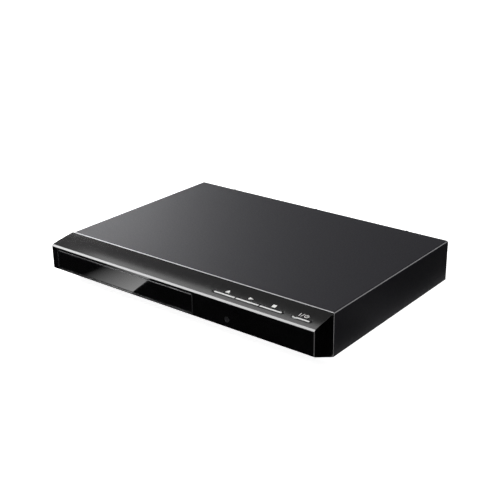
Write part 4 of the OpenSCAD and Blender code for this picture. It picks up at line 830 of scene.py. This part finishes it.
class PLAYER_OT_boards(bpy.types.Operator):
    """Finishes the boards and everything that stands on them"""

    bl_idname = "player.boards"
    bl_label = "Board finishes"

    def execute(self, context):
        self.finish_boards()
        self.finish_small_parts()
        self.finish_power_parts()
        self.finish_cables()
        return {"FINISHED"}

    def simple(self, name, colour, low, high, *parts, metal=0.0, size=0.002):
        """One colour with a gloss between two values. The size is that of its patches."""
        finish = Finish(name, colour, (low + high) / 2, metal=metal)
        finish.tint(0.15, size).gloss(low, high, size / 2).round_edges(0.0002)
        finish.grain(size / 5, 0.000006)
        finish.give(*parts)
        return finish

    def finish_boards(self):
        """Lacquered boards: lighter traces that run along both axes, and tinned pads"""
        for name, base, trace, parts in (
                ("green_board", (0.012, 0.10, 0.035), (0.022, 0.17, 0.06), ["main_board"]),
                ("brown_board", (0.27, 0.15, 0.055), (0.36, 0.22, 0.09), ["power_board", "front_board"])):
            board = Finish(name, base, 0.35)
            lanes = board.cells(0.0016, output="Color", stretch=(1, 0.12, 1))
            rows = board.cells(0.0016, output="Color", stretch=(0.12, 1, 1))
            areas = board.over(board.noise(0.022, 1), 0.5)
            copper = board.over(board.grey(board.mix(areas, lanes, rows)), 0.52)
            pads = board.under(board.cells(0.0032), 0.13)
            lacquer = board.mix(copper, base, trace)
            board.paint(board.mix(pads, lacquer, (0.62, 0.61, 0.57)))
            board.metal(pads)
            board.raise_by(board.either(copper, pads), 0.00003).gloss(0.26, 0.40, 0.002)
            board.give(*parts)

    def finish_small_parts(self):
        """Chips, key switches, receiver, capacitors and connectors"""
        mould = (0.014, 0.014, 0.015)
        chip = Finish("chip_mould", mould, 0.5)
        chip.gloss(0.45, 0.62, 0.0006).round_edges(0.0001).grain(0.0002, 0.000006)
        # only the legs lie this close above the board
        legs = chip.under(chip.axis(2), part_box("main_board")[1].z + 0.00062)
        chip.paint(chip.mix(legs, mould, (0.66, 0.65, 0.62)))
        chip.metal(legs)
        chip.give("board_chips")

        switch = Finish("switch_can", (0.02, 0.02, 0.021), 0.45)
        switch.tint(0.2, 0.001).gloss(0.3, 0.5, 0.0008).round_edges(0.0002)
        switch.give("key_switches")
        receiver = self.simple("receiver_lens", (0.02, 0.012, 0.012), 0.08, 0.16, "infrared_receiver")
        receiver.shader.inputs["Coat Weight"].default_value = 0.4

        sleeve = (0.012, 0.014, 0.05)
        for name, node, edge in (("small_can_sleeve", "board_capacitors", 0.0002),
                                 ("can_sleeve", "power_capacitors", 0.0003)):
            can = Finish(name, sleeve, 0.28)
            # a pale stripe down one side, and the bare aluminium top
            stripe = can.over(can.facing(0), 0.93)
            lid = can.over(can.facing(2), 0.9)
            can.paint(can.mix(lid, can.mix(stripe, sleeve, (0.58, 0.60, 0.64)), (0.70, 0.71, 0.72)))
            can.metal(lid)
            can.gloss(0.2, 0.34, 0.002).round_edges(edge).grain(0.0015, 0.000008)
            can.give(node)

        self.simple("cream_plastic", (0.74, 0.70, 0.58), 0.35, 0.5, "connectors")

    def finish_power_parts(self):
        """Transformer, line filter, heat sink and fuse"""
        # the transformer's yellow tape fills the core's window, and a band of it holds the core together
        low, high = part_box("transformer")
        mid = (low + high) / 2
        ferrite = (0.03, 0.03, 0.032)
        core = Finish("ferrite_core", ferrite, 0.6)
        inside = core.both(core.near(1, mid.y, 0.0061), core.near(0, mid.x, 0.0081))
        inside = core.both(inside, core.between(core.axis(2), low.z + 0.0041, high.z - 0.0049))
        upright = core.under(core.math("ABSOLUTE", core.facing(2)), 0.5)
        band = core.both(upright, core.between(core.axis(2), low.z + 0.006, low.z + 0.0125))
        core.paint(core.mix(core.either(inside, band), ferrite, (0.72, 0.48, 0.03)))
        core.gloss(0.35, 0.7, 0.003).round_edges(0.0003).grain(0.0005, 0.00001)
        core.give("transformer")

        # the filter's two copper windings, in the window of its core
        low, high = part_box("line_filter")
        mid = (low + high) / 2
        ferrite = (0.05, 0.05, 0.052)
        coil = Finish("copper_coil", ferrite, 0.5)
        wound = coil.both(coil.near(1, mid.y, 0.0061), coil.between(coil.aside(0, mid.x), 0.0019, 0.0077))
        wound = coil.both(wound, coil.between(coil.axis(2), low.z + 0.0037, high.z - 0.0037))
        coil.paint(coil.mix(wound, ferrite, (0.50, 0.17, 0.04)))
        coil.metal(wound)
        coil.gloss(0.24, 0.4, 0.001).round_edges(0.0002)
        coil.raise_by(coil.both(coil.waves(coil.axis(2), 0.0006), wound), 0.00018)
        coil.give("line_filter")

        self.simple("sink_aluminium", (0.62, 0.63, 0.65), 0.3, 0.45, "heat_sink", metal=1.0)

        # a glass tube with a metal cap at each end
        low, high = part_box("fuse")
        tube = Finish("fuse_tube", (0.78, 0.80, 0.82), 0.12)
        caps = tube.over(tube.aside(1, (low.y + high.y) / 2), 0.0048)
        tube.paint(tube.mix(caps, (0.80, 0.82, 0.80), (0.72, 0.70, 0.62)))
        tube.metal(caps)
        tube.gloss(0.08, 0.22, 0.002).round_edges(0.0002)
        tube.give("fuse")

    def finish_cables(self):
        """The insulation sheet and the ribbon cables"""
        self.simple("film", (0.72, 0.72, 0.66), 0.3, 0.45, "insulation_sheet", size=0.01)
        cable = Finish("flat_cable", (0.66, 0.67, 0.69), 0.42)
        # the arch crosses between the boards, the other lead runs forwards, each with its wires along it
        arch = cable.over(cable.axis(1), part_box("main_board")[0].y + 0.015)
        lead = cable.math("SUBTRACT", 1.0, arch)
        where = cable.math("ADD", cable.both(cable.axis(1), arch), cable.both(cable.axis(0), lead))
        ridges = cable.waves(where, 0.00125)
        # the grooves between the wires are painted darker: painted shade
        cable.paint(cable.mix(cable.span(ridges, 0.0, 0.35), (0.42, 0.43, 0.46), (0.70, 0.71, 0.73)))
        cable.raise_by(ridges, 0.00015).gloss(0.34, 0.5, 0.001)
        cable.give("ribbon_cables")


# ---------- operator: the studio ----------


def stage_material(obj, name):
    """The emptied nodes of a new material on a piece of the studio"""
    mat = bpy.data.materials.new(name)
    mat.use_nodes = True
    mat.node_tree.nodes.clear()
    obj.data.materials.append(mat)
    return Nodes(mat.node_tree)


class PLAYER_OT_studio(bpy.types.Operator):
    """Sets up the floor, the softboxes, the cards and the camera"""

    bl_idname = "player.studio"
    bl_label = "Studio"

    target = (0, 0.0072, 0.0209)  # what the camera is aimed at
    shift = (-8.15, 6.04)         # of the picture's middle, in pixels
    floor_size = 5                # radius, with a low wall round it
    wall_height = 0.45
    floor_light = 0.9             # what the camera and reflections see
    world_light = 0.2             # the camera sees 1
    lamp_distance = 1.3           # of all lamps but the ceiling panel

    def execute(self, context):
        _, _, studio = props(context)
        scene = context.scene
        self.add_camera(scene, studio)
        self.add_floor()
        self.add_lamps(scene)
        self.add_cards()
        scene.view_settings.view_transform = "Standard"
        return {"FINISHED"}

    def add_camera(self, scene, studio):
        az, el, roll = studio.camera_azimuth, studio.camera_elevation, studio.camera_roll
        back = Vector((math.sin(az) * math.cos(el), -math.cos(az) * math.cos(el), math.sin(el)))
        right = Vector((math.cos(az), math.sin(az), 0))
        up = back.cross(right)
        across = right * math.cos(roll) + up * math.sin(roll)
        upward = -right * math.sin(roll) + up * math.cos(roll)
        data = bpy.data.cameras.new("camera")
        camera = bpy.data.objects.new("camera", data)
        scene.collection.objects.link(camera)
        spot = Vector(self.target) + back * studio.camera_distance
        camera.matrix_world = Matrix.Translation(spot) @ Matrix((across, upward, back)).transposed().to_4x4()
        data.sensor_width = 36
        data.lens = studio.focal_pixels / IMAGE_SIDE * data.sensor_width
        data.shift_x, data.shift_y = (pixels / IMAGE_SIDE for pixels in self.shift)
        data.clip_start, data.clip_end = 0.05, 30
        scene.camera = camera

    def add_floor(self):
        start_piece()
        bpy.ops.mesh.primitive_circle_add(vertices=64, radius=self.floor_size, fill_type="NGON",
                                          location=(0, 0, -0.0002))
        floor = bpy.context.object
        floor.name = "floor"
        bpy.ops.object.mode_set(mode="EDIT")
        bpy.ops.mesh.select_all(action="SELECT")
        bpy.ops.mesh.select_mode(type="EDGE")
        bpy.ops.mesh.region_to_loop()
        bpy.ops.mesh.extrude_edges_move(TRANSFORM_OT_translate={"value": (0, 0, self.wall_height)})
        bpy.ops.object.mode_set(mode="OBJECT")
        # the floor's glow is seen by the camera and in reflections, and doesn't light the player
        nodes = stage_material(floor, "floor")
        diffuse, glow, path, total, output = (nodes.new(kind) for kind in (
            "BsdfDiffuse", "Emission", "LightPath", "AddShader", "OutputMaterial"))
        nodes.put(diffuse, "Color", (0.8, 0.8, 0.8, 1))
        seen = nodes.either(path.outputs["Is Glossy Ray"], path.outputs["Is Transmission Ray"])
        seen = nodes.either(path.outputs["Is Camera Ray"], seen)
        nodes.put(glow, "Strength", nodes.math("MULTIPLY", seen, self.floor_light))
        nodes.put(total, 0, diffuse.outputs[0])
        nodes.put(total, 1, glow.outputs[0])
        nodes.put(output, "Surface", total.outputs[0])

    def add_lamps(self, scene):
        world = bpy.data.worlds.new("world")
        scene.world = world
        world.use_nodes = True
        # the world lights gently, and the camera sees it white
        nodes = Nodes(world.node_tree)
        background = world.node_tree.nodes["Background"]
        nodes.put(background, "Color", (1, 1, 1, 1))
        seen = nodes.new("LightPath").outputs["Is Camera Ray"]
        nodes.put(background, "Strength", nodes.span(seen, 0.0, 1.0, self.world_light, 1.0))

        def softbox(name, place, aim, width, height, power):
            data = bpy.data.lights.new(name, "AREA")
            data.shape = "RECTANGLE"
            data.size, data.size_y = width, height
            data.energy = power
            lamp = bpy.data.objects.new(name, data)
            scene.collection.objects.link(lamp)
            lamp.location = place
            # a lamp without an aim faces straight down, its width along X
            if aim:
                lamp.rotation_euler = (Vector(aim) - Vector(place)).to_track_quat("-Z", "Y").to_euler()
            lamp.visible_camera = False

        def at(azimuth, elevation):
            """A place round the player: azimuth from -X towards the rear, both angles in degrees"""
            a, e = math.radians(azimuth), math.radians(elevation)
            toward = Vector((-math.cos(a) * math.cos(e), math.sin(a) * math.cos(e), math.sin(e)))
            return toward * self.lamp_distance

        # a ceiling panel for the slope, a low box for the cover's sheen, and a key for the bright edges
        softbox("softbox_over", (-0.51, 0.512, 1.0), None, 1.47, 0.3, 2.65)
        softbox("softbox_left", at(28, 19.5), (0, 0, 0.03), 0.62, 0.22, 6.6)
        softbox("softbox_key", at(-38.5, 39), (0, 0, 0), 0.62, 0.5, 13.6)
        softbox("softbox_far", at(56, 26.5), (0, 0, 0.03), 0.34, 0.16, 0.1)

    def add_cards(self):
        """Cards that only reflections see: dark ones, and bright ones that fade along X or Y"""

        def card(name, corners, z, strength=0.0, axis=0, dark_at=0.0, bright_at=1.0):
            start_piece()
            bpy.ops.mesh.primitive_plane_add(size=1)
            obj = bpy.context.object
            obj.name = name
            for vertex, (x, y) in zip(obj.data.vertices, corners):
                vertex.co = (x, y, z)
            for flag in ("visible_camera", "visible_diffuse", "visible_shadow", "visible_transmission",
                         "visible_volume_scatter"):
                setattr(obj, flag, False)
            nodes = stage_material(obj, name)
            place, glow, output = (nodes.new(kind) for kind in ("TexCoord", "Emission", "OutputMaterial"))
            along = nodes.part(place.outputs["Object"], axis)
            nodes.put(glow, "Strength", nodes.span(along, dark_at, bright_at, 0.0, strength))
            nodes.put(output, "Surface", glow.outputs[0])

        card("dark_card", [(-0.5, -0.9), (0.137, -0.9), (-0.5, -0.088), (0.137, -0.088)], 0.0002)
        card("light_card", [(-0.3, -0.17), (-0.0764, -0.17), (-0.3, -0.118), (-0.0629, -0.118)], 0.001,
             4.0, 0, -0.126, -0.064)
        card("side_card", [(0.14, -0.097), (1.6, -0.097), (0.14, 1.8), (1.6, 1.8)], 0.0002)
        card("side_glow", [(0.14, -0.015), (0.5, -0.015), (0.14, 0.07), (0.5, 0.07)], 0.0006,
             0.26, 1, 0.07, -0.015)


class PLAYER_PT_panel(bpy.types.Panel):
    """Lists the steps and their settings"""

    bl_label = "Disc player"
    bl_idname = "PLAYER_PT_panel"
    bl_space_type = "VIEW_3D"
    bl_region_type = "UI"
    bl_category = "Disc player"

    def draw(self, context):
        for operator in STEPS:
            self.layout.operator(operator.bl_idname)
        for group in props(context):
            for name in group.bl_rna.properties.keys():
                if name not in ("name", "rna_type"):
                    self.layout.prop(group, name)


STEPS = (PLAYER_OT_outside, PLAYER_OT_sockets, PLAYER_OT_mechanism, PLAYER_OT_boards,
         PLAYER_OT_strips, PLAYER_OT_symbols, PLAYER_OT_thread, PLAYER_OT_studio)
CLASSES = (PlayerFinishes, PlayerSizes, PlayerStudio, *STEPS, PLAYER_PT_panel)


def register():
    for cls in CLASSES:
        bpy.utils.register_class(cls)
    bpy.types.Scene.player_finishes = PointerProperty(type=PlayerFinishes)
    bpy.types.Scene.player_sizes = PointerProperty(type=PlayerSizes)
    bpy.types.Scene.player_studio = PointerProperty(type=PlayerStudio)


def unregister():
    del bpy.types.Scene.player_studio
    del bpy.types.Scene.player_sizes
    del bpy.types.Scene.player_finishes
    for cls in reversed(CLASSES):
        bpy.utils.unregister_class(cls)


def main():
    register()
    bpy.ops.player.outside()
    bpy.ops.player.sockets()
    bpy.ops.player.mechanism()
    bpy.ops.player.boards()
    bpy.ops.player.strips()
    bpy.ops.player.symbols()
    bpy.ops.player.thread()
    bpy.ops.player.studio()


if __name__ == "__main__":
    main()
